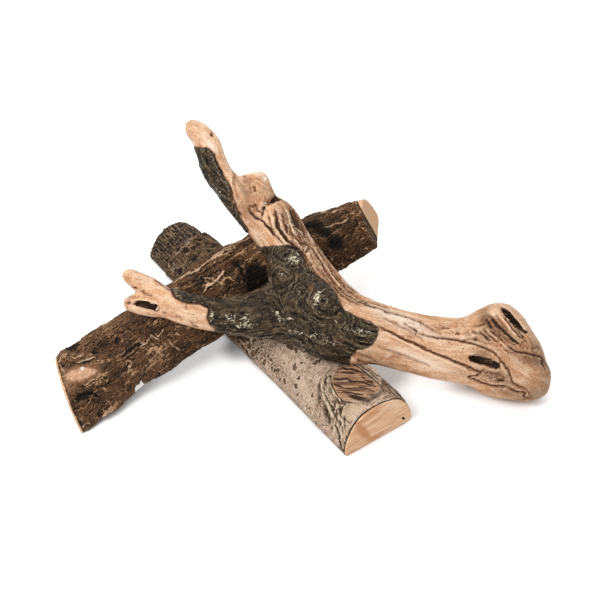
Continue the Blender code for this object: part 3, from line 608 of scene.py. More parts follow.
# edges of paint, each made uneven by a share of a finer pattern
curlDark, curlPale, foldEdge, whiteEdge, sawEdge, eyeRough, spotRough, rimPlace, blackDirt, dirtPale = [
    addNode(tree, "Math", {0: finer, 1: share, 2: edge}, operation="MULTIPLY_ADD")
    for finer, share, edge in (
        (curled, -0.38, curlStep), (curled, 0.35, curlStep), (grit, 1.6, foldLine), (grit, 1.6, whiteLine),
        (grit, 1.2, sawLine), (grit, 0.7, eyeMark), (grit, 0.5, spotIn), (mottle, 1.6, knotIn),
        (dirty, 0.16, dirt), (dirty, 0.4, speckle),
    )
]
barkColour = layCoats(tree, "#b2967f", (
    (mottle, 0.46, 0.58, 0.75, "#cdb5a1"),
    (mottle, 0.48, 0.36, 0.7, "#94755d"),
    (besideIn, -0.8, 0.6, 0.8, "#6b5741"),
    (collarIn, -1.0, 1.0, 0.75, "#a58a70"),
    (speckle, 0.53, 0.62, 0.65, "#dfcab5"),
    (speckle, 0.46, 0.36, 0.7, "#604838"),
    (hairs, 0.54, 0.62, 0.55, "#e0cbb6"),
    (hairs, 0.45, 0.36, 0.55, "#614938"),
    (grit, 0.46, 0.34, 0.6, "#4b3728"),
    (grit, 0.54, 0.64, 0.55, "#e8d4bf"),
    # dark in the hollows and pale on the crests: partly the dark wash and light dry-brushing of the casting, partly
    # painted shade and painted highlight
    (deep, -0.15, -0.6, 0.6, "#c9ae94"),
    (deep, 0.12, 0.6, 0.8, "#6b5342"),
    (sunk, -0.04, -0.16, 0.6, "#d8bea3"),
    # pale where the dabs fall below 0: mostly a painted highlight along the top of the log
    (stain, 0.0, -1.0, 0.6, "#cdb7a2"),
    (folded, 0.15, 0.7, 0.8, "#cdbda4"),
    (folded, -0.05, -0.7, 0.85, "#4d3927"),
    # pale along the high lip of each curl step: a painted highlight
    (curlPale, 1.06, 1.2, 0.6, "#d2b397"),
    (dirty, 0.0, 1.0, 0.86, "#86694b"),
    (blackDirt, 0.55, 0.68, 0.7, "#2f2318"),
    # dark along the foot of each curl step: painted shadow under the step
    (curlDark, 0.04, -0.08, 0.85, "#2a1d14"),
    (dirtPale, 0.97, 1.07, 0.6, "#a88a6c"),
    (spotRough, 0.45, 0.8, 0.93, "#17110d"),
    # near black in the small hollows: partly dark wash, partly painted shade
    (sunk, 0.05, 0.18, 0.8, "#30241b"),
    (eyeRough, 0.42, 0.52, 0.5, "#dcc6ad"),
    (eyeRough, 0.58, 0.74, 0.85, "#2f2016"),
    (eyeRough, 0.98, 1.25, 0.75, "#86684e"),
    # darker within 6 mm of the hearth: painted shade along the foot of the log
    (up, 6.0, 0.0, 0.6, "#5f4834"),
    # dark brown stains, and painted shade in the band left of the collar folds
    (stain, 0.1, 1.0, 0.85, "#3f2d20"),
))
patchColour = layCoats(tree, "#c9b096", (
    (speckle, 0.5, 0.36, 0.85, "#8a7059"),
    (mottle, 0.5, 0.36, 0.6, "#a88e76"),
    (grit, 0.52, 0.7, 0.5, "#e6d3bd"),
))
charColour = layCoats(tree, "#41372e", (
    (charStreak, 0.5, 0.62, 0.85, "#89705a"),
    (charStreak, 0.48, 0.38, 0.8, "#231c17"),
    (dirt, 0.51, 0.58, 0.85, "#191512"),
    (dirt, 0.44, 0.36, 0.6, "#8d7358"),
    # dark in the hollows and pale on the crests of the char: partly the char's own colour, partly painted shade and
    # painted highlight
    (sunk, 0.03, 0.16, 0.75, "#15110e"),
    (sunk, -0.06, -0.18, 0.5, "#9c8468"),
))
faceColour = layCoats(tree, "#8f6b50", (
    (sawGrain, 0.47, 0.58, 0.85, "#bf9a7b"),
    (sawGrain, 0.5, 0.4, 0.8, "#5a4031"),
    (sawGrain, 0.4, 0.33, 0.8, "#2c1f17"),
    (grit, 0.54, 0.68, 0.45, "#c9a586"),
    (stain, 0.2, 1.2, 0.95, "#1d1511"),
    (grit, 0.5, 0.3, 0.5, "#5d4330"),
    (sawEdge, 1.2, 0.6, 0.95, "#271a13"),
))
endColour = layCoats(tree, "#ebbe97", (
    (endBand, 0.5, 0.64, 0.75, "#cb9268"),
    (endBand, 0.48, 0.36, 0.75, "#f6d8b9"),
    (endFine, 0.5, 0.36, 0.25, "#c48a60"),
    (endFine, 0.54, 0.68, 0.3, "#f8e0c6"),
    (stain, -0.1, -1.2, 0.85, "#c78a5e"),
    (speckle, 0.56, 0.7, 0.35, "#f6dcbf"),
))
colour = layCoats(tree, barkColour, (
    (stub, 0.7, -0.7, 1.0, charColour),
    (patchIn, -0.9, 0.2, 0.9, patchColour),
    (foldEdge, 1.0, 0.4, 0.85, "#3b2b1d"),
    # pale lines, partly a painted highlight on the ring beside the sawn limb
    (whiteEdge, 0.9, 0.3, 0.8, "#d3c2a8"),
    (knotIn, -1.6, -1.0, 0.9, "#2a1f17"),
    (rimPlace, 0.5, 0.8, 0.85, "#c9a27e"),
    (knotIn, -0.05, 0.45, 1.0, faceColour),
    (front, 2.9, 2.2, 1.0, "#17120e"),
    (front, 1.3, 1.0, 1.0, endColour),
    # the hole in the sawn end: painted shade, black
    (holeIn, -0.5, 0.1, 1.0, "#14100c"),
))
bump = addNode(tree, "Bump", {"Height": speckle, "Strength": 0.5, "Distance": 0.4 * mm})
setSockets(tree, shader, {"Base Color": colour, "Roughness": 0.75, "Specular IOR Level": 0.1, "Normal": bump})
roundLog.data.materials.append(roundBark)
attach(roundLog, "round_log")
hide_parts("round_log")


# Split log: dark flaking oak bark, with a sliver of cut wood at each end
splitLook = {
    "voxel": 0.955 * mm,
    "heading": math.radians(33.6),
    "rise": math.radians(11.06),
    "foot": (-0.1846, -0.1050, -0.003),
    "length": 303.0,  # mm
    # slant of each cut end across and up the log, and the slanted length
    "leftSlant": (-0.34, 0.04, 1.06),
    "rightSlant": (0.80, -0.32, 1.32),
    # in pixels of the photograph
    "rightEnd": (
        (357, 200.5), (369, 196), (376, 196), (386, 222), (388, 252), (380.6, 247), (377.5, 238), (372.5, 228.5),
        (364.5, 215),
    ),
    "chip": ((134.5, 389), (136.6, 385.6), (140.4, 380), (143.6, 384), (147.6, 386.5), (142, 396), (136, 396)),
    # pale ridges and checks; the two long ones along the upper edge are a painted highlight
    "paleRidges": (
        (((171, 284.5), (180, 279), (190, 272.5), (197, 269.5), (207, 262), (220, 254.5), (235, 245.5)), 1.0, 0.5),
        (((174.7, 281), (186, 274.5), (197.5, 268.3), (210, 259.6), (223, 250.3), (236, 243.4),
          (249.5, 238)), 0.9, 0.5),
        (((203, 293), (206.5, 288.5), (211, 284), (214, 282), (217, 280), (221, 275), (225, 270)), 1.7, 0.9),
        (((206, 287), (209, 284.6), (212.5, 283.6)), 2.6, 0.6),
        (((203, 277), (208, 279.5), (212, 279), (216, 281)), 0.8, 0.7),
        (((217, 281), (222, 283.5), (226, 284.5)), 0.7, 0.5),
        (((77, 362), (81, 361), (85, 360.2), (90, 358.4), (96, 357.6)), 1.1, 0.8),
        (((71.5, 357), (76, 358.6), (81, 356), (83.5, 352.5)), 0.9, 0.7),
        (((60, 363), (62, 357), (67, 353)), 0.8, 0.5),
        (((58, 363), (62, 369.5), (66, 374)), 0.9, 0.5),
        (((61, 377), (67, 375), (71, 372.5)), 0.9, 0.6),
        (((84, 385.5), (88, 382), (92, 379.5), (96, 379)), 1.1, 0.8),
        (((86, 388), (91, 384.5), (96, 382.5)), 0.8, 0.6),
        (((129.5, 361), (131.5, 362.5), (129, 367), (127.5, 372)), 1.0, 0.8),
        (((125.5, 364), (127, 361), (130, 360)), 0.7, 0.5),
        (((139, 347), (143, 345), (147, 341), (150, 337)), 1.0, 0.6),
        (((155, 333), (159, 336), (161, 333), (163, 330)), 1.0, 0.6),
        (((150, 335), (156, 338), (159, 341)), 1.0, 0.6),
        (((138, 340), (140.5, 343), (144, 344.5)), 0.8, 0.5),
        (((106.5, 405), (108, 401), (112, 407), (110, 409)), 0.8, 0.5),
        (((104, 409.5), (104.8, 413), (103, 417)), 1.0, 0.6),
        (((83, 428), (86, 424), (90, 423)), 0.9, 0.5),
        (((168, 339), (172, 344), (177, 349), (180, 350)), 0.9, 0.5),
        (((173, 335), (177, 333), (180, 336)), 0.9, 0.5),
        (((102, 326), (106, 322.8), (110, 320)), 1.2, 0.4),
        (((324.5, 228), (330, 226), (336, 224), (342, 222.5), (346, 220), (347, 216.5)), 0.9, 0.8),
        (((347, 203), (351, 201.5), (355, 201.5), (356.5, 204)), 1.0, 0.5),
        (((331, 213), (337, 211), (343, 208.5)), 0.9, 0.4),
    ),
    "darkLines": (
        (((122, 357), (126, 352), (130, 348.5), (136, 345.5), (142, 344)), 2.0, -0.8),
        (((126, 359), (132, 355), (138, 349)), 1.2, -0.5),
        (((78, 363), (86, 361.6), (94, 359.8)), 1.0, -0.5),
        (((77, 397), (84, 395), (92, 394), (99, 396)), 2.2, -1.2),
        (((76, 400), (82, 398.5), (90, 397)), 2.0, -1.0),
        (((66, 350), (71, 345.5), (77, 344)), 2.6, -0.8),
        (((193, 282), (200, 279), (207, 277.5), (211, 276)), 1.8, -0.8),
        (((190, 286), (198, 283), (203, 282)), 1.2, -0.5),
        (((189, 275), (195, 271.6), (201, 268)), 2.2, -0.7),
        (((203, 266.5), (208, 263.4)), 1.6, -0.5),
        (((178, 287), (190, 280.6), (203, 272.6), (217, 264), (232, 256)), 0.9, -0.4),
        (((184, 291), (196, 285.6), (208, 276.6), (220, 269.4)), 0.8, -0.3),
        (((104, 405), (101, 410), (98, 414), (102, 417.5)), 1.1, -0.4),
        (((77, 419), (78, 424), (82, 428)), 1.6, -0.5),
        (((96, 388), (104, 386), (112, 382)), 1.0, -0.4),
        (((235, 262), (240, 268), (243, 276)), 2.2, -0.8),
    ),
    # dark pits and smudges, some of them painted shade in recesses of the bark, and pale worn places (below 0)
    "smudgesAndShade": (
        (256, 280, 12, 17, 0, 1.5), (236, 262, 8, 5, -30, 0.7), (80, 396, 10, 4, -8, 0.7), (92, 392, 9, 4, 5, 0.5),
        (336, 243, 9, 8, -20, 1.2), (327, 232, 6, 5, 0, 0.6), (75, 346, 8, 3, -30, 1.0), (117, 340, 3, 4, 20, 1.2),
        (103, 346, 7, 6, 0, 0.6), (130, 351, 12, 3, -38, 0.7), (94, 352, 4, 3, 0, 0.8), (76, 350, 4, 4, 0, 0.5),
        (80, 424, 5, 4, 40, 0.7), (68, 347, 5, 3, -35, 0.5), (318, 227, 7, 10, -30, 0.9),
        (366, 262, 12, 8, -30, 0.6), (130, 388, 6, 3, -35, 0.5), (112, 372, 6, 4, -30, 0.4),
        (150, 372, 10, 3, -32, 0.5), (346, 212, 4, 3, 0, 0.7), (305, 226, 8, 5, -25, 0.6),
        (82, 374, 13, 8, -14, -1.6), (70, 376, 8, 6, 0, -0.7), (66, 386, 6, 8, 0, -0.6), (92, 372, 9, 4, -8, -0.6),
        (84, 343, 8, 4, -30, -0.25), (88, 407, 9, 5, 0, -0.2), (109, 350, 5, 5, 0, -0.15),
    ),
    "pit": ((256, 280, 9, 13, 0, 1.0),),
    "whiteDot": (82.3, 368.3, 1.7),
    # how high each form stands or how deep it is cut, in mm
    "heights": {
        "broad": 0.6, "flake": 0.42, "lean": 0.32, "smallFlake": 0.18, "smallLean": 0.2, "crumb": 0.18, "gap": 0.6,
        "smudge": 0.5, "pit": 0.9,
    },
}
splitLog = castingCopy("splitLog", "split_log", splitLook["voxel"], 3)
places, normals, spots, seen = shapeOf(splitLog)
heights = splitLook["heights"]
local = logPlaces(places, splitLook["heading"], splitLook["rise"], splitLook["foot"]) / mm
across, up, slant = splitLook["leftSlant"]
fromLeft = (local[:, 0] + across * local[:, 1] + up * local[:, 2]) / slant
across, up, slant = splitLook["rightSlant"]
fromRight = (splitLook["length"] + across * local[:, 1] + up * local[:, 2] - local[:, 0]) / slant
ends = np.maximum(ease(2.2 - fromLeft, 0, 1.4), ease(2.0 - fromRight, 0, 1.2))
warped = local + 3.2 * np.stack([rough(local, 9, 1.0, 2, shift) for shift in (2.0, 7.0, 12.0)], 1)
crumbs = rough(warped, 2.7, 1.4, 3, 5.0)
# large and small flakes, long with the log
alongside = warped / np.array([2.6, 1, 1]) + 0.8 * crumbs[:, None]
height, lean, edge = flakes(alongside, 7.0)
smallHeight, smallLean, smallEdge = flakes(alongside, 2.9, 5.0)
marks = dabs(spots, seen, splitLook["smudgesAndShade"])
relief = heights["broad"] * rough(local, 16, 2.0) + heights["flake"] * height + heights["lean"] * lean
relief += heights["smallFlake"] * smallHeight + heights["smallLean"] * smallLean + heights["crumb"] * crumbs
relief -= heights["gap"] * ease(edge, 0.12, 0.02)
relief *= (1 - ends) * (1 - 0.6 * ease(-marks, 0.4, 1.2))
relief -= heights["smudge"] * np.clip(marks, -0.4, 2.0)
relief -= heights["pit"] * ease(dabs(spots, seen, splitLook["pit"]), 0.1, 0.8)
relief *= ease(places[:, 2] / mm, 0.3, 2.5)
relief += carveLines(splitLog, wavy(spots, local, 1.6, 4.5), seen, splitLook, ("paleRidges", "darkLines"))
carve(splitLog, places, normals, relief)
keep(
    splitLog, logPlace=local, fromLeft=fromLeft, flake=0.6 * height + 0.4 * smallHeight,
    flakeEdge=np.minimum(edge, smallEdge + 0.06),
    rim=np.maximum(lean - 1.1 * edge, 0.8 * (smallLean - 1.2 * smallEdge)),
    # the cut wood at the right end, as seen in the photograph, and the whole of it elsewhere
    rightCut=np.where(seen > 0.2, inAreas(spots, seen, [splitLook["rightEnd"]]), 2.0 - fromRight),
    chip=inAreas(wavy(spots, local, 1.0, 4.0), np.ones(len(spots)), [splitLook["chip"]]),
    whiteDot=dotAt(spots, *splitLook["whiteDot"]), smudge=marks, sunken=sunken(splitLog, 2), deep=sunken(splitLog, 10),
)
print("split log carved", len(splitLog.data.polygons))

# Cast refractory ceramic, painted dark brown and dry-brushed with tan on its crests, with painted shade in its hollows
# and flake gaps and painted highlights on its crests
splitBark, tree, shader = newMaterial("paintedCastCeramicOakBark")
local = addNode(tree, "Attribute", {}, "Vector", attribute_name="logPlace")
sunk, deep, smudge, flake, rim, flakeEdge, left, chipIn, dotIn, rightCut, ridge, darkLine = [
    addNode(tree, "Attribute", {}, "Fac", attribute_name=name)
    for name in (
        "sunken", "deep", "smudge", "flake", "rim", "flakeEdge", "fromLeft", "chip", "whiteDot", "rightCut",
        "paleRidges", "darkLines",
    )
]
lengthwise = addNode(tree, "Mapping", {"Vector": local, "Scale": (1 / 12, 1 / 1.6, 1 / 1.6)})
endStrips = addNode(tree, "Mapping", {"Vector": local, "Scale": (1 / 14, 1 / 5, 1 / 2.4)})
# place, size in mm, detail, roughness and distortion of each pattern
tone, crumb, grit, dust, strips, endGrain = [
    addNode(
        tree, "TexNoise",
        {"Vector": place, "Scale": 1 / size, "Detail": detail, "Roughness": roughness, "Distortion": twist}, "Fac",
    )
    for place, size, detail, roughness, twist in (
        (local, 18, 3.0, 0.55, 0), (local, 2.0, 6.0, 0.8, 0.5), (local, 5.0, 6.0, 0.75, 1.2),
        (local, 0.9, 3.0, 0.7, 0),
        (lengthwise, 1, 4.0, 0.65, 0), (endStrips, 1, 3.0, 0.5, 0),
    )
]
towardsLeft = addNode(
    tree, "MapRange", {"Value": left, "From Min": 190.0, "From Max": 60.0}, interpolation_type="SMOOTHSTEP"
)
# edges of paint, each made uneven by a share of a finer pattern
ridgeEdge, paleRough, leftRough, edgeRough, flakeRough, smudgeAndShadeRough, rimRough, paleGrit = [
    addNode(tree, "Math", {0: finer, 1: share, 2: edge}, operation="MULTIPLY_ADD")
    for finer, share, edge in (
        (dust, 1.6, ridge), (grit, 1.8, smudge), (grit, 3.0, left), (crumb, 0.5, flakeEdge), (crumb, 2.4, flake),
        (grit, 1.6, smudge), (crumb, 1.6, rim), (towardsLeft, 0.06, grit),
    )
]
for pattern in (tone, grit):
    rimRough = addNode(tree, "Math", {0: pattern, 1: 1.2, 2: rimRough}, operation="MULTIPLY_ADD")
endColour = layCoats(tree, "#dfb38e", ((endGrain, 0.42, 0.62, 0.3, "#e8c3a2"), (endGrain, 0.44, 0.3, 0.3, "#cb9870")))
ringPlace = addNode(tree, "Mapping", {"Vector": local, "Location": (0, 14, 8), "Scale": (0.02, 1, 1)})
rings = addNode(
    tree, "TexWave", {"Vector": ringPlace, "Scale": 0.08, "Distortion": 2.4, "Detail": 3.0, "Detail Scale": 1.2}, "Fac",
    wave_type="RINGS", rings_direction="X",
)
leftEndColour = layCoats(tree, endColour, (
    (rings, 0.6, 0.95, 0.4, "#c28f67"),
    (dust, 0.55, 0.68, 0.35, "#f1d3b6"),
    (dust, 0.45, 0.34, 0.35, "#a87650"),
))
paleColour = layCoats(tree, "#c89b7b", (
    (strips, 0.5, 0.66, 0.6, "#e6c3a8"),
    (crumb, 0.52, 0.64, 0.8, "#f3d8c2"),
    (crumb, 0.46, 0.34, 0.8, "#7d573f"),
    # darker in the hollows of the pale places: partly wash, partly painted shade
    (sunk, 0.04, 0.16, 0.8, "#6a4935"),
))
colour = layCoats(tree, "#472f1d", (
    (towardsLeft, 0.0, 1.0, 0.75, "#654632"),
    (tone, 0.44, 0.62, 0.6, "#6b4d35"),
    (tone, 0.48, 0.36, 0.75, "#2a1e15"),
    (flakeRough, 1.4, 2.4, 0.7, "#7c5b41"),
    (flakeRough, 1.1, 0.3, 0.85, "#1e150e"),
    (strips, 0.52, 0.66, 0.5, "#77583f"),
    (strips, 0.47, 0.34, 0.6, "#1d130d"),
    # dark in the hollows and the gaps between flakes, pale on the crests: partly the dark wash and tan dry-brushing,
    # partly painted shade and painted highlight
    (deep, 0.1, 0.5, 0.85, "#1a120c"),
    (edgeRough, 0.3, 0.18, 0.85, "#100b08"),
    (sunk, 0.025, 0.12, 0.85, "#100b08"),
    (deep, -0.3, -0.9, 0.25, "#7d5d44"),
    (sunk, -0.06, -0.16, 0.5, "#9c7859"),
    # pale rims along the raised side of each flake: tan dry-brushing and a painted highlight
    (rimRough, 2.32, 2.48, 0.8, "#c49d78"),
    (paleGrit, 0.66, 0.76, 0.28, "#b08c6e"),
    (dust, 0.47, 0.37, 0.65, "#120c08"),
    (dust, 0.57, 0.66, 0.5, "#ac8562"),
    (grit, 0.42, 0.34, 0.85, "#0f0b08"),
    # near black at the darkest dabs: pits, and painted shade in recesses of the bark
    (smudgeAndShadeRough, 1.0, 1.6, 0.95, "#0c0a09"),
    (paleRough, 0.8, 0.2, 0.7, "#8d664b"),
    (paleRough, 0.25, -0.5, 0.95, paleColour),
    (darkLine, 0.8, -0.2, 0.9, "#12100e"),
    # pale ridges, partly a painted highlight along the upper edge
    (ridgeEdge, 1.1, 0.4, 0.85, "#d8b799"),
    (leftRough, 4.6, 3.8, 0.7, "#3a281c"),
    (leftRough, 3.6, 3.0, 1.0, leftEndColour),
    (rightCut, -1.6, -0.8, 0.85, "#1a110b"),
    (rightCut, -0.2, 0.3, 1.0, endColour),
    (dotIn, -0.3, 0.3, 1.0, "#ffe9d8"),
    (chipIn, -0.2, 0.3, 1.0, "#fbf8f5"),
))
bump = addNode(tree, "Bump", {"Height": crumb, "Strength": 0.7, "Distance": 0.7 * mm})
setSockets(tree, shader, {"Base Color": colour, "Roughness": 0.72, "Specular IOR Level": 0.1, "Normal": bump})
splitLog.data.materials.append(splitBark)
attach(splitLog, "split_log")
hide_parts("split_log")


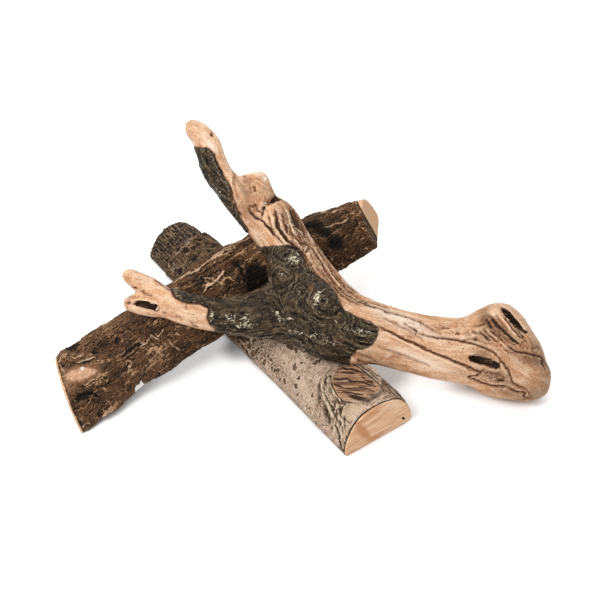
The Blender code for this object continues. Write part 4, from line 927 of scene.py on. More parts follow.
# Driftwood branch: bare worn wood with patches of dark bark
branchLook = {
    "voxel": 1.11 * mm,
    "softRounds": 26,
    "slots": ((514, 323, 10, 15, -30, 1.0), (485, 362, 20, 8, 15, 1.0), (145, 305, 15, 6, 5, 1.0)),
    "blunt": ((551, 385, 15, 20, 0, 1.0),),
    "bluntRounds": 120,
    # middle of each limb and its radius, in mm
    "trunk": (
        (-101, 103, 155, 6), (-98, 103, 156, 8), (-92, 101, 152, 10), (-84, 93, 146, 11), (-79, 81, 139, 11),
        (-71, 68, 129, 12), (-58, 57, 120, 14), (-42, 50, 112, 18), (-26, 37, 104, 20), (-13, 17, 96, 20),
        (-1, -13, 85, 25), (14, -41, 75, 28), (38, -48, 65, 26), (66, -47, 56, 23), (90, -48, 49, 23),
        (112, -49, 43, 23), (136, -46, 37, 25), (156, -37, 33, 32), (177, -55, 25, 27), (194, -67, 22, 18),
        (205, -69, 22, 10),
    ),
    "sideLimb": (
        (6, -28, 72, 22), (-14, -29, 68, 22), (-36, -30, 66, 17), (-54, -32, 66, 15), (-75, -36, 70, 13),
        (-95, -37, 75, 13), (-113, -31, 78, 12), (-124, -23, 78, 11), (-130, -18, 78, 7),
    ),
    "upperTwig": ((-112, -23, 76, 8), (-122, -18, 77, 9), (-132, -14, 81, 9), (-140, -12, 86, 8), (-151, -12, 95, 3)),
    "lowerStub": ((-112, -35, 77, 9), (-122, -32, 77, 11), (-132, -28, 75, 10), (-140, -26, 72, 9), (-151, -24, 71, 4)),
    # in pixels of the photograph: the patches of bark
    "bark": (
        ((180, 138), (194, 147), (203, 148), (210, 150.5), (214.6, 156), (217, 163), (221.5, 170), (223.5, 176),
         (230, 185.5), (230.5, 194), (232, 203), (234.5, 209), (240, 218), (248, 229), (246, 240), (215, 215),
         (185, 170)),
        ((171, 284), (171, 288), (175, 297), (185, 302), (193, 303), (200, 303.5), (209, 308), (208, 317), (210, 324),
         (216, 329), (212, 345), (300, 372), (349, 366), (351, 356), (357, 350), (366, 348), (372, 345), (378, 334),
         (378, 328), (370, 322), (358, 318), (350, 313), (345, 311), (341, 305), (336, 293), (328, 284), (319, 277),
         (311, 269), (306, 266), (303, 256), (297, 246.5), (290, 245), (284, 245.5), (276, 246.5), (264, 247),
         (250, 249), (250, 275), (240, 285)),
    ),
    # dark cracks and holes: points, width in pixels, depth in mm
    "cracks": (
        # upper arm
        (((205, 147), (211, 151), (214.6, 156), (217, 163), (221.5, 170), (223.5, 177)), 1.4, -0.8),
        (((230, 186), (231.4, 190), (232, 196), (234, 203), (237, 210), (242, 217.5)), 1.7, -1.0),
        (((212.3, 134.0), (212.5, 134.9)), 1.7, -1.3),
        (((189.6, 119.8), (190.6, 120.4)), 1.0, -0.6),
        (((254.2, 187.3), (255.0, 190.8)), 1.6, -1.2),
        (((237.4, 173.6), (239.4, 173.9)), 1.4, -0.9),
        (((241.6, 174.0), (242.8, 174.2)), 1.0, -0.6),
        (((266.2, 197.5), (266.0, 200.8)), 0.7, -0.6),
        (((243, 173), (245, 178), (249, 184), (251, 192)), 0.8, -0.3),
        (((236, 174), (233.5, 179), (235, 188), (239, 199)), 0.9, -0.4),
        (((233, 172), (237, 173.4), (243, 172.6)), 0.9, -0.5),
        (((282, 196), (284.5, 197), (286.4, 199)), 1.4, -0.8),
        (((249, 206), (248.9, 209), (249.8, 211.6), (251.8, 214.8), (256, 217.6), (261.3, 220.4), (265.2, 224.6),
          (270, 229.6), (274.3, 234.5), (278.5, 239.4), (283, 244)), 2.0, -1.2),
        (((249, 206), (252.5, 206.8), (256, 205.4), (257.4, 210.2), (261.7, 212.4), (261.3, 218)), 1.7, -1.1),
        (((253.4, 207.4), (253.8, 212.5)), 0.8, -0.4),
        # trunk
        (((274.3, 209.4), (276.4, 216.9), (276.6, 224.6), (280.6, 232.4), (286.9, 239.4), (294.6, 245.7),
          (302.4, 252), (308, 260)), 2.2, -1.5),
        (((268, 216), (269.6, 221), (272, 228), (274.5, 233)), 1.2, -0.8),
        (((293.2, 210.5), (297, 216), (301.5, 224), (305.2, 235), (302.3, 236.5)), 1.3, -0.9),
        (((298, 236), (302, 242), (306, 246.5)), 1.2, -0.8),
        (((281.5, 213), (283.8, 219), (284.8, 226), (287.6, 232)), 1.1, -0.7),
        (((289, 229), (292.5, 235.6), (298, 240.4), (303.5, 245.8)), 1.1, -0.7),
        (((303, 241.5), (306.5, 243.5), (309.5, 246), (308, 250), (304, 252)), 1.4, -1.0),
        (((287, 245), (293.5, 247.6), (299, 252), (305, 260), (310.6, 268)), 1.5, -1.0),
        (((310.8, 244.3), (316.5, 253.5), (322.7, 263.2), (328.3, 273), (337, 285), (347, 295)), 1.4, -1.0),
        (((314.3, 243.6), (320, 252.5), (325.5, 261.8), (333.2, 273), (343, 285), (354, 295)), 1.2, -0.9),
        (((318, 246.5), (325, 258), (334, 271), (345, 284), (357, 292.5)), 1.0, -0.7),
        (((304, 256), (310, 264), (317, 273), (324, 280)), 1.2, -0.8),
        (((318, 268), (327, 278), (338, 290), (350, 300), (360, 304)), 1.2, -0.9),
        (((336, 284), (347, 294), (359, 301), (372, 306)), 1.2, -0.9),
        # right arm
        (((355, 296), (364, 301.5), (376, 304), (390, 309)), 1.0, -0.7),
        (((352, 297), (363, 303.4), (379, 308), (395.1, 313.7), (408.9, 317.1), (420.4, 321.7), (429.5, 327.5),
          (441, 334.4)), 1.0, -0.8),
        (((420.4, 334.4), (431.8, 336.7), (441, 337.8), (454.8, 340.1), (468.6, 342.4), (482.3, 347),
          (493.8, 352.7), (500.7, 360.8), (505, 366), (509.5, 374), (512, 382.7), (517, 385.7), (526.3, 389.8),
          (531.5, 398)), 1.5, -1.1),
        (((436.4, 329.8), (443, 328), (450.2, 327.5)), 0.9, -0.5),
        (((457.5, 333.2), (459, 333.4)), 1.3, -0.7),
        (((475, 338.6), (478, 339.4)), 1.3, -0.7),
        (((408.9, 326.3), (413, 328), (415.8, 330.9), (415.8, 334.4)), 0.9, -0.5),
        (((379, 326.3), (392.8, 333.2), (408.9, 341.2), (423.8, 348.1), (436.4, 353.9), (450.2, 359.6), (464, 365.3),
          (477.7, 372.2), (483.5, 370.4)), 1.6, -1.6),
        (((483.5, 370.4), (477.7, 375.7), (468.5, 377.6), (480.4, 382.7), (493.7, 386.7), (504.9, 386.7),
          (515.1, 391.8), (524.3, 392.9), (523.3, 397), (527, 399), (532, 396.5)), 1.6, -1.2),
        (((505.9, 344.9), (515.1, 351), (523, 352.6), (531.4, 354), (541.6, 357.1), (543.6, 363), (545.7, 370.4)),
         2.0, -1.1),
        (((545, 360.5), (548, 366), (551.8, 371.4)), 1.4, -0.8),
        (((503.9, 349), (508, 351), (512.6, 353.6), (513.4, 351)), 1.0, -0.6),
        (((531.4, 348), (536, 347.2), (539.6, 347), (539, 349.8)), 0.9, -0.5),
        (((531.4, 348), (533, 351), (534.5, 353.6)), 0.9, -0.5),
        # carved grooves beside the first slot
        (((490.6, 317.3), (494.5, 321.6), (498.8, 326.5), (505.9, 332.7), (514, 339.8), (521.2, 344.9)), 3.0, -1.1),
        (((485, 319), (489, 323), (492.5, 328)), 2.4, -0.8),
        (((496, 314), (499, 319), (503, 325), (508, 331)), 1.1, -0.6),
        (((479.4, 331.6), (483, 334.6), (487, 338), (490.6, 340.8)), 1.7, -0.8),
        (((484, 329.6), (488.5, 334), (493, 338.4), (498, 342)), 1.3, -0.7),
        (((491, 331), (496, 335), (501, 339.4), (505, 343.6)), 1.4, -0.8),
        (((498.8, 333.7), (503.9, 337.5), (509, 342), (515, 346)), 1.2, -0.7),
        (((473.5, 331.5), (477, 333.6)), 1.6, -0.6),
        (((520, 336), (524, 339), (526, 341.6), (522, 343)), 1.1, -0.6),
        (((508, 338), (512, 341), (517, 341.8)), 1.1, -0.6),
        (((474, 326), (480, 325), (486, 323.6)), 1.2, -0.5),
        (((404, 323), (413, 329), (423, 334.5), (436, 337.5)), 1.1, -0.7),
        (((384, 318), (396, 324), (410, 331), (424, 340)), 0.9, -0.5),
        (((378, 347), (394, 352), (412, 359), (430, 366)), 0.8, -0.4),
        (((463, 341), (470, 339), (480, 341), (487, 344)), 0.9, -0.4),
        # knob slots
        (((503.9, 316), (509, 322.5), (514, 328.6), (519, 334.5), (523, 337)), 1.5, -1.2),
        (((504.2, 308.6), (510, 316), (517, 325.4), (526, 333.4)), 3.0, -2.2),
        (((497, 373), (502, 376), (504, 380)), 1.2, -0.5),
        (((486, 372.5), (493, 373.4), (499, 376.6)), 1.0, -0.5),
        (((495, 381.5), (500, 380.6), (504, 381.4)), 1.8, -0.7),
        (((470, 358), (478, 361), (488, 364), (499, 367)), 5.0, -2.4),
        # left arm
        (((133, 304), (141, 303), (148, 304.5), (157, 308)), 3.8, -2.4),
        (((127.0, 303.2), (128.4, 302.8)), 1.8, -1.1),
        (((125, 297), (128, 292.5), (131, 288.6), (137, 289)), 1.4, -0.9),
        (((141, 290.5), (147, 294), (153, 296)), 1.0, -0.6),
        (((155, 281), (160, 283), (166, 287), (171, 290)), 1.1, -0.6),
        (((163, 312.8), (166, 313.6)), 0.9, -0.5),
        (((176, 315.6), (180, 316.8)), 0.9, -0.5),
        (((190, 322), (194, 325.6), (198, 327)), 1.0, -0.6),
        (((183, 299), (186, 304), (185, 309)), 0.8, -0.4),
        (((171, 288), (173, 293), (176, 298), (185, 302.6), (200, 304), (208.6, 308.4), (207.6, 317), (209.5, 324),
          (215, 329.5)), 1.3, -0.6),
        # rolled stub, a spiral on its end
        (((358, 352.5), (366, 356.5), (376, 361.5)), 1.0, -0.5),
        (((357, 360), (366, 362.8), (380, 365.5)), 1.2, -0.6),
        (((350.5, 354), (353, 351.5), (356, 352.5), (356.5, 355.5), (354, 357), (352.5, 355)), 0.9, -0.5),
    ),
    # the openings of the two knob slots, whose insides are painted near black as painted shade
    "slotAreas": (
        ((468.2, 355.6), (478.4, 356.1), (489.6, 358.7), (499.8, 363.3), (500.6, 366.3), (495.7, 368.6),
         (484.5, 364.6), (475.3, 362.2), (469.2, 359.2)),
        ((501, 307), (505, 309), (510.5, 313.6), (516, 320), (522, 327), (528.6, 332.7), (525, 333.6), (518.6, 330),
         (512.6, 324.6), (507.6, 318.6), (503, 312.5)),
    ),
    # pale ridges beside the cracks and on the knob; the long one under the deep crack of the right arm is a painted
    # highlight
    "paleRidges": (
        (((284.5, 207), (287, 212.7), (289, 218), (290.4, 223.2), (292.4, 229), (296, 235)), 1.1, 0.5),
        (((294.6, 208), (300, 217), (305, 226), (309, 235), (314, 244)), 1.0, 0.3),
        (((268.5, 208), (270.6, 214), (273.6, 221), (276.5, 229), (282, 237), (289, 243.6)), 1.2, 0.4),
        (((230.5, 176), (231.2, 184), (233, 191)), 1.0, 0.3),
        (((235.5, 176), (243, 175), (250, 174)), 0.9, 0.2),
        (((312.4, 243.6), (318, 252.6), (324, 262), (331, 273.6), (340, 285)), 1.0, 0.3),
        (((234.4, 204), (235, 208), (236.6, 212)), 2.0, 0.2),
        (((383, 331.5), (397, 338.6), (413, 346.6), (429, 354), (450, 363), (468, 370.5)), 1.3, 0.6),
        (((357, 299), (368, 303), (384, 308), (400, 313.5)), 1.0, 0.3),
        (((501.5, 318), (506, 323.4), (511, 330), (517, 336)), 1.2, 0.5),
        (((507, 316.5), (513, 324), (519, 331), (523, 334.6)), 0.8, 0.3),
        (((462, 337.6), (470, 340), (478, 343)), 1.6, 0.5),
        (((487, 330), (492, 334.6), (498, 339)), 1.0, 0.5),
        (((510, 334.6), (516, 339.6), (521, 343)), 1.2, 0.4),
        (((500, 341.5), (506, 346.5), (513, 349.6)), 1.2, 0.4),
        (((470, 354), (480, 354.6), (490, 357)), 1.2, 0.4),
        (((262.5, 170.5), (270, 178.5), (276, 187)), 1.2, 0.2),
    ),
    # dark hollows, cut in and painted near black: their own dark paint, and painted shade
    "hollows": (
        ((269, 203.2), (274.3, 198), (276.2, 192), (279.9, 190), (287, 198.7), (278.5, 200.8), (274.3, 203)),
        ((262, 206.5), (265.6, 205.7), (265.3, 208.6), (263.3, 211.4), (261.6, 209.2)),
        ((264.3, 225), (268.6, 226.2), (271.8, 228.6), (272.4, 234.2), (268.3, 230.5)),
        ((276, 217), (279, 222), (280.6, 228), (286.5, 236), (290.5, 240.6), (286, 240.5), (279, 232.5),
         (275.8, 226)),
        ((289.5, 208.8), (293.3, 211.5), (297.5, 219), (303, 229.5), (302, 231.5), (295.6, 226.5), (291.3, 218.5)),
        ((285, 222), (287.2, 226), (287.2, 232), (285, 228)),
    ),
    # brown stains, and pale places (below 0), among them painted highlights and glints on the shoulder and the knob
    "stains": (
        (300, 232, 13, 24, -28, 1.4), (286, 218, 9, 13, -20, 0.5), (322, 268, 20, 7, 50, 0.6),
        (266, 196, 15, 11, 10, 0.2), (246, 184, 9, 12, -30, 0.15), (226, 160, 5, 12, -25, 0.2),
        (243, 210, 6, 14, -28, 0.4), (352, 298, 16, 5, 35, 0.5), (385, 311, 36, 6, 18, -0.45),
        (455, 332, 30, 6, 15, 0.2), (497, 328, 17, 5, 42, 0.9), (486, 320, 7, 4, 0, 0.7),
        (484, 336, 8, 5, 30, 0.5), (531, 360, 11, 5, 10, 0.6), (533, 345, 5, 16, -20, 0.3),
        (480, 351, 16, 3, 12, 0.7), (505, 392, 28, 6, 12, 0.6), (494, 376, 15, 8, 15, 0.9),
        (416, 366, 6, 3, 20, 0.5), (362, 356, 10, 4, 10, 0.7), (486, 309, 10, 4, -25, 0.5),
        (150, 307, 12, 4, 12, 0.4), (130, 296, 5, 6, 0, 0.4), (200, 322, 16, 5, 12, 0.3), (296, 206, 6, 7, 0, 0.6),
        (525, 375, 16, 9, 0, -0.3), (306, 252, 4, 5, 0, -0.8), (326, 262, 4, 14, -35, -0.3),
        (265, 179, 2.4, 1.8, 20, -1.5), (150, 290, 20, 7, 15, -0.2), (495, 314, 3.5, 2.6, 0, -1.2),
        (412, 327, 50, 10, 18, -0.75), (424, 362, 52, 9, 22, -0.8), (188, 138, 7, 8, 0, 0.5),
        (243, 190, 3.5, 12, -28, 0.7), (262, 192, 12, 8, 0, 0.3), (248, 184, 4, 10, -15, 0.35),
        (258, 173, 12, 4, 12, -1.1), (235, 178, 3, 6, -10, 0.6), (250, 203, 7, 9, -20, 0.3),
        (212, 146, 4, 12, -35, -0.9), (246, 222, 4, 20, -35, -0.3), (250, 218, 10, 24, -32, 0.4),
        (525, 360, 32, 38, 0, 0.62), (510, 312, 14, 8, 30, 0.4), (552, 372, 12, 22, -20, 0.4),
        (540, 396, 20, 9, -10, 0.4), (250, 176, 22, 12, 10, 0.25), (488, 326, 16, 12, 30, 0.5),
        (425, 368, 46, 4, 20, 0.35), (198, 126, 10, 8, 0, -0.4), (491, 321, 8, 5, 45, 1.1),
        (170, 302, 30, 16, 0, 0.18), (530, 385, 24, 12, 10, 0.3), (372, 352, 12, 4, 10, 0.5),
        (395, 322, 3, 1, 0, 0.9),
    ),
    # where the bark has cream flecks, partly paint rubbed through to cream and partly painted glints, as on the crest
    # left of the largest knot
    "flecks": (
        (248, 322, 13, 9, 5, 1.5), (230, 318, 8, 6, 0, 1.1), (212, 316, 3, 6, 0, 1.8),
        (279, 316, 12, 3.5, 48, 1.6), (297, 332, 8, 2.5, 12, 1.6), (291, 318, 3, 3, 0, 1.3),
        (315, 334, 7, 2.5, -18, 1.4), (310, 343, 4, 2.5, 20, 1.3), (347, 328, 14, 4, 25, 0.9),
        (366, 331, 9, 7, 20, 1.3), (330, 343, 12, 5, 15, 0.8), (296, 261, 7, 8, 30, 1.5),
        (289, 257, 7, 4, 30, 1.2), (282, 274, 5, 3, 0, 1.3), (317, 299, 3.5, 9, 15, 2.2),
        (218, 192, 4, 9, -20, 1.5), (226, 205, 4, 9, -25, 0.7), (302, 285, 5, 4, 0, 0.9), (300, 297, 5, 6, 0, 0.7),
        (300, 310, 22, 3, 12, 0.4), (270, 262, 5, 8, 0, 0.4), (340, 343, 22, 6, 20, 0.5),
        (262, 300, 12, 8, 0, -0.4), (225, 303, 24, 5, 0, -0.8),
    ),
    "barkBrown": (
        (308, 285, 9, 5, 30, 1.1), (311, 297, 3, 9, 0, 0.8), (274, 328, 8, 3.5, 30, 1.3),
        (338, 313, 5, 4, 30, 1.2), (340, 338, 14, 7, 10, 1.0), (300, 277, 7, 2.5, -35, 1.3),
        (325, 306, 3, 3, 0, 1.0), (290, 247, 10, 2.4, 10, 0.8), (215, 299, 30, 6, 5, 0.4),
        (350, 352, 16, 5, 15, 0.8),
    ),
    # where the bark is smooth and lumpy rather than lined
    "calm": ((238, 318, 46, 26, 5, 1.0), (196, 294, 26, 8, 12, 1.0), (268, 296, 22, 14, 0, 0.8)),
    # carved, weathered wood
    "carved": (
        (297, 230, 12, 24, -28, 1.3), (318, 262, 12, 20, -40, 1.0), (345, 290, 18, 7, 40, 0.7),
        (497, 335, 20, 14, 30, 0.3), (485, 350, 20, 6, 15, 0.3), (532, 360, 12, 8, 30, 0.4),
        (495, 378, 18, 9, 14, 0.8), (455, 334, 30, 8, 15, 0.35), (400, 318, 36, 6, 18, 0.2),
        (241, 176, 10, 6, 0, 0.5), (262, 182, 14, 9, 20, 0.35), (130, 298, 8, 8, 0, 0.4),
    ),
    # knots: middle and reach, in pixels
    "knots": ((323.4, 301, 19), (283, 276.5, 13), (284.8, 255.6, 10)),
    # where the wood is grooved along its grain
    "grooved": (
        (296, 226, 15, 26, -28, 1.3), (332, 276, 36, 9, 45, 1.2), (380, 312, 40, 6, 18, 0.45),
        (450, 334, 34, 12, 15, 0.5), (497, 332, 22, 16, 30, 0.5), (525, 354, 28, 22, 0, 0.6),
        (490, 380, 30, 9, 14, 0.6),
    ),
    # small round dots: place and radius
    "peg": (156.2, 308.3, 2.0),
    "paleDot": (265.7, 203.4, 1.3),
    # how high each form stands or how deep it is cut, in mm
    "heights": {
        "broad": 0.35, "groove": 0.8, "fine": 0.14, "carving": 0.45, "swirl": 0.3, "softSwirl": 0.15, "hollow": 1.3,
        "bark": 0.3, "flowLines": 0.75, "flowFold": 0.6, "wrinkleFold": 0.2, "eye": 1.4,
    },
}
branch = castingCopy("driftwoodBranch", "driftwood_branch", branchLook["voxel"], 2)


def limbPlaces(places, limbs):
    # places along and across the nearest limb, in mm, so that grain follows each bend
    best = np.full(len(places), 1e6)
    found = np.zeros((len(places), 3))
    for order, rows in enumerate(limbs):
        line = curveThrough(rows, 6)
        middle, radius = line[:, :3], line[:, 3]
        ahead = np.gradient(middle, axis=0)
        run = np.concatenate([[0], np.cumsum(np.linalg.norm(np.diff(middle, axis=0), axis=1))])
        ahead /= np.linalg.norm(ahead, axis=1)[:, None]
        wide = np.cross(ahead, np.array([0, -1, 1]))
        wide /= np.linalg.norm(wide, axis=1)[:, None]
        deep = np.cross(wide, ahead)
        for k in range(len(middle)):
            offset = places / mm - middle[k]
            apart = np.linalg.norm(offset, axis=1) - radius[k]
            closer = apart < best
            best[closer] = apart[closer]
            part = offset[closer]
            found[closer, 0] = run[k] + part @ ahead[k] + order * 700
            found[closer, 1] = part @ wide[k]
            found[closer, 2] = part @ deep[k]
    return found


# softened all over, but least at the slots in the knob and the side limb
places = readPlaces(branch)
everywhere = np.ones(len(places))
slots = np.clip(dabs(photoPlace(places), everywhere, branchLook["slots"], 2.0), 0, 1)[:, None]
places = spread(branch, places, branchLook["softRounds"]) * (1 - slots) + spread(branch, places, 3) * slots
blunt = np.clip(dabs(photoPlace(places), everywhere, branchLook["blunt"], 1.5), 0, 1)[:, None]
places = spread(branch, places, branchLook["bluntRounds"]) * blunt + places * (1 - blunt)
writePlaces(branch, places)
normals = readNormals(branch)
spots = photoPlace(places)
seen = facing(places, spread(branch, normals, 12))  # evened out, so that the insides of slots count too
heights = branchLook["heights"]
local = limbPlaces(places, [branchLook[limb] for limb in ("trunk", "sideLimb", "upperTwig", "lowerStub")])
here = places / mm
barkEdge = np.maximum(*[areaDistance(spots, outline) for outline in branchLook["bark"]]) * pixelMm
barkEdge += 0.7 * rough(here, 4.5)
onBark = ease(barkEdge, -0.3, 0.8)
grooved = np.clip(dabs(spots, everywhere, branchLook["grooved"]) + (1 - seen) * 0.5, 0, 1)
carved = np.clip(dabs(spots, everywhere, branchLook["carved"]) + (1 - seen) * 0.4, 0, 1)
drawn = wavy(spots, here, 1.0, 5.0)
hollow = inAreas(drawn, seen, branchLook["hollows"])
# bare wood: swells, grooves along the grain, and carving in small steps
warped = local + 1.2 * rough(here, 12, 1.0, 2)[:, None]
groove = rough(warped, 4.0, 8.0, 2)
swirl = rough(here + 2.0 * rough(here, 8, 1.0, 2, 3.0)[:, None], 5.0, 1.0, 3, 7.0)
carving = 6.0 * rough(warped, 9.0, 2.4, 3, 4.0)
wood = heights["broad"] * rough(here, 17) - grooved * heights["groove"] * ease(0.15 - np.abs(groove), 0.0, 0.15)
wood += heights["fine"] * rough(local, 2.6, 4.0, 2, 3.0)
wood += carved * (heights["carving"] * (carving - np.floor(carving) - 0.5) + heights["swirl"] * swirl)
wood += grooved * heights["softSwirl"] * swirl - heights["hollow"] * ease(hollow, -0.6, 0.9)
warpedHere = here + np.stack([rough(here, 8, 1.0, 2, shift) for shift in (1.0, 6.0, 11.0)], 1) * 3.0
wrinkle = rough(warpedHere, 3.1, 1.0, 3)
wrinkleFold = 1 - 2.2 * np.abs(rough(warpedHere, 4.8, 1.0, 2, 9.0))
# bark flows along the limbs and round the knots: its lines follow the places of equal flow
weight = np.full(len(spots), 0.25)
flow = (local[:, 1] + 0.3 * local[:, 2]) * weight
pushed = wavy(spots, here, 2.0, 9.0)
eyes = np.zeros(len(spots))
for knotAcross, knotDown, radius in branchLook["knots"]:
    reach = np.hypot(pushed[:, 0] - knotAcross, (pushed[:, 1] - knotDown) * 1.12)
    pull = 3.0 * np.exp(-((reach / radius) ** 2)) * seen
    flow += pull * reach * pixelMm
    weight += pull
    eyes += np.exp(-((reach / 1.7) ** 2)) * seen
flow = flow / weight + 0.9 * wrinkle
calm = np.clip(dabs(spots, everywhere, branchLook["calm"], 1.5), 0, 1)
flowPlace = np.column_stack([here[:, 0], here[:, 1] + here[:, 2], flow * (6 - 4 * calm)])
flowLines = rough(flowPlace, 12.0, 1.0, 3)
flowFold = 1 - 2.2 * np.abs(rough(flowPlace, 16.0, 1.0, 2, 5.0))
barkRelief = heights["bark"] + (1 - 0.4 * calm) * (heights["flowLines"] * flowLines + heights["flowFold"] * flowFold)
barkRelief += (0.3 + 0.3 * calm) * wrinkle + heights["wrinkleFold"] * wrinkleFold - heights["eye"] * eyes
relief = wood * (1 - onBark) + barkRelief * onBark
relief *= ease(places[:, 2] / mm, 0.2, 2.0)
relief += carveLines(branch, drawn, seen, branchLook, ("cracks", "paleRidges"))
carve(branch, places, normals, relief)
keep(
    branch, limbPlace=local, barkEdge=barkEdge, flowPlace=flowPlace, flowLines=flowLines + 0.5 * flowFold - eyes,
    slotIn=inAreas(wavy(spots, here, 0.7, 3.0), seen, branchLook["slotAreas"]), hollow=hollow, groove=groove,
    grooved=grooved, carve=carving, carved=carved, stain=dabs(spots, seen, branchLook["stains"]),
    fleck=dabs(spots, everywhere, branchLook["flecks"]), barkBrown=dabs(spots, everywhere, branchLook["barkBrown"]),
    peg=dotAt(spots, *branchLook["peg"]) - (1 - seen) * 9,
    paleDot=dotAt(spots, *branchLook["paleDot"]) - (1 - seen) * 9,
    sunken=sunken(branch, 2), deep=sunken(branch, 10),
)
print("branch carved", len(branch.data.polygons))

# Cast refractory ceramic, painted as bare driftwood with a thin satin sealer, and olive-black bark, with painted shade
# in its hollows and slots and painted highlights and glints
driftwood, tree, shader = newMaterial("paintedCastCeramicDriftwood")
local, flowPlace = [
    addNode(tree, "Attribute", {}, "Vector", attribute_name=name) for name in ("limbPlace", "flowPlace")
]
(
    sunk, deep, stain, crack, ridge, hollowIn, slotIn, groove, grooved, carving, carved, barkIn, fleck, barkBrown,
    pegIn, dotIn, flowLines,
) = [
    addNode(tree, "Attribute", {}, "Fac", attribute_name=name)
    for name in (
        "sunken", "deep", "stain", "cracks", "paleRidges", "hollow", "slotIn", "groove", "grooved", "carve", "carved",
        "barkEdge", "fleck", "barkBrown", "peg", "paleDot", "flowLines",
    )
]
object3d = addNode(tree, "TexCoord", {}, "Object")
lengthwise = addNode(tree, "Mapping", {"Vector": local, "Scale": (1 / 36, 1 / 8, 1 / 8)})
fibres = addNode(tree, "Mapping", {"Vector": local, "Scale": (1 / 18, 1 / 1.5, 1 / 1.5)})
# place, size, detail, roughness and distortion of each pattern; the last is a net over the crests, for flecks and
# painted glints
tone, streaks, fleckAndGlintNoise, fineFlow, specks, patchy, blotch, net = [
    addNode(
        tree, "TexNoise",
        {"Vector": place, "Scale": 1 / size, "Detail": detail, "Roughness": roughness, "Distortion": twist}, "Fac",
    )
    for place, size, detail, roughness, twist in (
        (lengthwise, 1, 3.0, 0.5, 0), (fibres, 1, 4.0, 0.6, 0.4), (flowPlace, 13, 4.0, 0.62, 1.4),
        (flowPlace, 10, 3.0, 0.6, 0.6), (object3d, 1.5 * mm, 4.0, 0.7, 0), (object3d, 8 * mm, 4.0, 0.6, 0),
        (object3d, 5 * mm, 5.0, 0.65, 0.8), (object3d, 2.8 * mm, 4.0, 0.6, 1.6),
    )
]
grooveReach = addNode(tree, "Math", {0: groove}, operation="ABSOLUTE")
carveStep = addNode(tree, "Math", {0: carving}, operation="FRACT")
# places where paint lies, each a value with shares of others added
painted = []
for total, shares in (
    (grooveReach, ((specks, 0.12), (grooved, -0.1))),
    (crack, ((specks, 1.8),)),
    (ridge, ((specks, 1.8),)),
    (carveStep, ((carved, -0.22),)),
    (carveStep, ((carved, 0.4),)),
    (specks, ((grooved, 0.07),)),
    (streaks, ((grooved, -0.06),)),
    (fleckAndGlintNoise, ((fleck, 0.1), (sunk, -0.3), (specks, 0.25))),
    (net, ((carved, 0.12),)),
    (net, ((fleck, 0.11), (specks, 0.3))),
    (barkBrown, ((fineFlow, 3.0),)),
):
    for value, share in shares:
        total = addNode(tree, "Math", {0: value, 1: share, 2: total}, operation="MULTIPLY_ADD")
    painted.append(total)
(
    grooveReach, crackEdge, ridgeEdge, carveLine, carveCrest, speckPlace, streakPlace, fleckPlace, netWood, netFleckAndGlintPlace,
    brownPlace,
) = painted
# near black inside the slots, with a little grain: painted shade
slotColour = layCoats(tree, "#15100c", ((streaks, 0.55, 0.66, 0.7, "#7a5a3d"), (specks, 0.6, 0.7, 0.5, "#6b4e36")))
woodColour = layCoats(tree, "#d6a57e", (
    (tone, 0.46, 0.6, 0.85, "#ecc7a6"),
    (tone, 0.48, 0.34, 0.8, "#bd8660"),
    (blotch, 0.54, 0.68, 0.5, "#b98866"),
    (blotch, 0.46, 0.34, 0.6, "#efd3b6"),
    (streakPlace, 0.45, 0.3, 0.7, "#93613f"),
    (streaks, 0.55, 0.66, 0.65, "#f4d5b8"),
    (specks, 0.45, 0.36, 0.55, "#7f5539"),
    (specks, 0.55, 0.64, 0.5, "#f7dec5"),
    # darker in the hollows and paler on the swells: partly wash, partly painted shade and painted highlight
    (deep, 0.05, 0.4, 0.7, "#9a6a47"),
    (deep, -0.2, -0.8, 0.4, "#ebc6a2"),
    (stain, 0.0, 1.4, 0.9, "#6f5038"),
    # near white where the dabs fall below 0: pale places, and painted highlights and glints
    (stain, -0.1, -1.5, 1.0, "#fdeedd"),
    (speckPlace, 0.6, 0.68, 0.55, "#5f3f2b"),
    (netWood, 0.62, 0.7, 0.75, "#4f3624"),
    (carveCrest, 1.12, 1.3, 0.6, "#eccaa8"),
    (carveLine, 0.02, -0.12, 0.75, "#4b3223"),
    (grooveReach, 0.06, -0.02, 0.75, "#55382a"),
    # dark in the small hollows and pale on the small crests: partly wash, partly painted shade and painted highlight
    (sunk, 0.05, 0.25, 0.8, "#3d281b"),
    (sunk, -0.08, -0.22, 0.6, "#f3d5b6"),
    # pale ridges, partly painted highlights
    (ridgeEdge, 1.5, 0.6, 0.75, "#f1d3b4"),
    # near black in the hollows: dark paint and painted shade
    (hollowIn, -0.9, 0.5, 0.9, "#33231a"),
    (crack, 1.6, 0.3, 0.4, "#87593b"),
    (crackEdge, 1.1, 0.45, 0.95, "#261810"),
    # brown round the slot openings and near black in them: painted shade
    (slotIn, -0.9, 0.0, 0.6, "#6d482f"),
    (slotIn, -0.3, 0.4, 0.97, slotColour),
    (pegIn, -1.6, -0.9, 0.9, "#20140d"),
    (pegIn, -0.3, 0.3, 1.0, "#f0cba6"),
    (dotIn, -0.9, -0.4, 0.9, "#20140d"),
    (dotIn, -0.2, 0.3, 1.0, "#fbe9d2"),
))
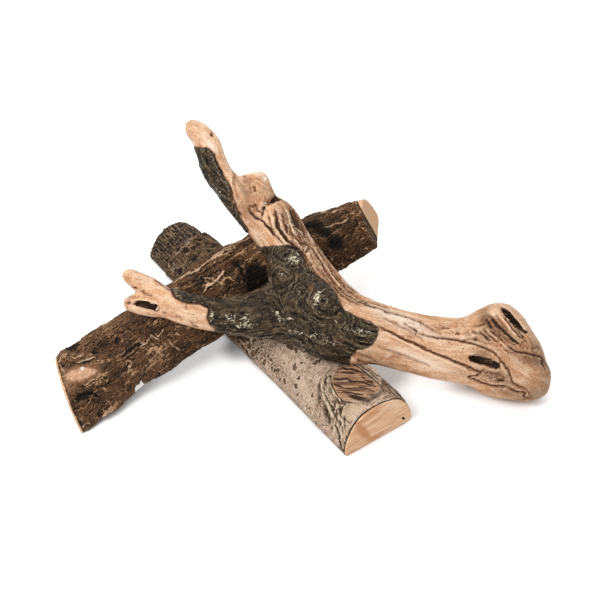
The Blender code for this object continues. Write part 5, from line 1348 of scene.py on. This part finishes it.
barkColour = layCoats(tree, "#382c1f", (
    (patchy, 0.5, 0.66, 0.7, "#463826"),
    (patchy, 0.48, 0.34, 0.7, "#241c13"),
    (brownPlace, 2.1, 3.1, 0.75, "#7d5c41"),
    (fineFlow, 0.53, 0.64, 0.6, "#655440"),
    (fineFlow, 0.47, 0.36, 0.6, "#15110c"),
    (flowLines, 0.3, 0.8, 0.5, "#6b5b46"),
    (flowLines, 0.0, -0.4, 0.8, "#120e0a"),
    (specks, 0.47, 0.37, 0.55, "#14100c"),
    (specks, 0.57, 0.66, 0.4, "#786a55"),
    # dark in the hollows and pale on the crests of the bark: partly wash, partly painted shade and painted highlight
    (deep, 0.06, 0.4, 0.7, "#171310"),
    (sunk, 0.04, 0.2, 0.85, "#0d0b09"),
    (sunk, -0.08, -0.26, 0.7, "#8c806b"),
    (crack, 0.8, -0.2, 0.9, "#14110d"),
    # cream flecks on the crests: partly paint rubbed through, partly painted glints
    (fleckPlace, 0.84, 0.9, 0.92, "#dcd2b8"),
    (netFleckAndGlintPlace, 0.86, 0.92, 0.92, "#dcd2b8"),
))
colour = layCoats(tree, woodColour, (
    (barkIn, -1.3, -0.3, 0.75, "#3a281c"),
    (barkIn, -0.25, 0.25, 1.0, barkColour),
))
sheen = addNode(tree, "MapRange", {"Value": barkIn, "From Min": -0.3, "From Max": 0.3, "To Min": 0.5, "To Max": 0.34})
bump = addNode(tree, "Bump", {"Height": streaks, "Strength": 0.3, "Distance": 0.4 * mm})
bump = addNode(tree, "Bump", {"Height": specks, "Strength": 0.25, "Distance": 0.3 * mm, "Normal": bump})
setSockets(tree, shader, {"Base Color": colour, "Roughness": sheen, "Specular IOR Level": 0.09, "Normal": bump})
branch.data.materials.append(driftwood)
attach(branch, "branch")
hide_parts("driftwood_branch")


# Steel rods and pins: cold drawn bar, finely scratched
steel, tree, shader = newMaterial("coldDrawnSteel")
object3d = addNode(tree, "TexCoord", {}, "Object")
# scratches finer than this don't show in the render
scratches = addNode(tree, "TexNoise", {"Vector": object3d, "Scale": 1 / (0.6 * mm), "Detail": 4.0}, "Fac")
colour = layCoats(tree, "#8d8d90", ((scratches, 0.3, 0.7, 1.0, "#a5a5a8"),))
dull = addNode(tree, "MapRange", {"Value": scratches, "From Min": 0.3, "From Max": 0.7, "To Min": 0.32, "To Max": 0.45})
setSockets(tree, shader, {"Base Color": colour, "Metallic": 1.0, "Roughness": dull})
for name in ("round_log_rod", "split_log_rod", "branch_trunk_rod", "branch_side_rod", "split_log_pin", "branch_pin"):
    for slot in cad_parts[name].material_slots:
        slot.material = steel
print("materials made")


# Floor, lamps and world
studio = {
    "floorSize": 8.0,
    "floorDrop": 0.3 * mm,
    "floorGlow": 0.42,  # only the camera sees it
    "farGlow": 0.32,  # more glow further off, where the lamps no longer reach
    "farReach": (0.7, 2.4),
    "cornerReach": 22 * mm,  # how close something stands over the floor to take its glow away
    # places on the floor where the logs close in, where the glow is taken away to paint the shadow deeper, and how far
    # from each one it starts and stops to fade
    "pockets": (((0.0625, -0.030, 0.0), 18 * mm, 38 * mm), ((-0.058, -0.010, 0.0), 4 * mm, 20 * mm)),
    "worldLight": 0.32,
    # place, size and power of each soft lamp
    "lamps": (
        ((-0.8, -0.7, 1.4), 0.8, 21.0),
        ((1.1, -0.6, 1.2), 1.2, 3.5),
        ((0.2, 0.9, 1.4), 1.0, 10.5),
        ((-0.3, -1.5, 0.45), 0.8, 1.6),
    ),
}
bpy.ops.mesh.primitive_plane_add(size=studio["floorSize"], location=(0, 0, -studio["floorDrop"]))
floor = bpy.context.object
floor.name = "studioFloor"
floorPaint, tree, shader = newMaterial("whitePaper")
seenByCamera = addNode(tree, "LightPath", {}, "Is Camera Ray")
# the paper's glow fades in the corners close under the logs: painted shade that deepens their shadow
openness = addNode(tree, "AmbientOcclusion", {"Distance": studio["cornerReach"]}, "AO")
glow = addNode(tree, "MapRange", {"Value": openness, "From Min": 0.3, "From Max": 0.7, "To Max": studio["floorGlow"]})
floorPlace = addNode(tree, "TexCoord", {}, "Object")
away = addNode(tree, "VectorMath", {0: floorPlace}, "Value", operation="LENGTH")
far = addNode(
    tree, "MapRange",
    {"Value": away, "From Min": studio["farReach"][0], "From Max": studio["farReach"][1], "To Max": studio["farGlow"]},
)
glow = addNode(tree, "Math", {0: glow, 1: far}, operation="ADD")
for pocket, dark, light in studio["pockets"]:
    reach = addNode(tree, "VectorMath", {0: floorPlace, 1: pocket}, "Value", operation="DISTANCE")
    clear = addNode(
        tree, "MapRange", {"Value": reach, "From Min": dark, "From Max": light}, interpolation_type="SMOOTHSTEP"
    )
    glow = addNode(tree, "Math", {0: glow, 1: clear}, operation="MULTIPLY")
glow = addNode(tree, "Math", {0: seenByCamera, 1: glow}, operation="MULTIPLY")
paper = {"Base Color": (0.9, 0.9, 0.9, 1), "Roughness": 0.9, "Emission Color": (1, 1, 1, 1)}
setSockets(tree, shader, {**paper, "Emission Strength": glow})
floor.data.materials.append(floorPaint)
for number, (place, size, power) in enumerate(studio["lamps"]):
    bpy.ops.object.light_add(type="AREA", location=place)
    lamp = bpy.context.object
    lamp.name = "softLamp%d" % number
    lamp.data.size = size
    lamp.data.energy = power
    lamp.rotation_euler = (-Vector(place)).to_track_quat("-Z", "Y").to_euler()
world = bpy.data.worlds.new("studioWorld")
world.use_nodes = True
bpy.context.scene.world = world
tree = world.node_tree
path = addNode(tree, "LightPath", {}).node
shown = addNode(tree, "Math", {0: path.outputs["Is Camera Ray"], 1: path.outputs["Is Glossy Ray"]}, operation="MAXIMUM")
shown = addNode(tree, "Math", {0: shown, 1: path.outputs["Is Transmission Ray"]}, operation="MAXIMUM")
strength = addNode(tree, "MapRange", {"Value": shown, "To Min": studio["worldLight"], "To Max": 1.0})
setSockets(tree, tree.nodes["Background"], {"Color": (1, 1, 1, 1), "Strength": strength})
print("studio lit")
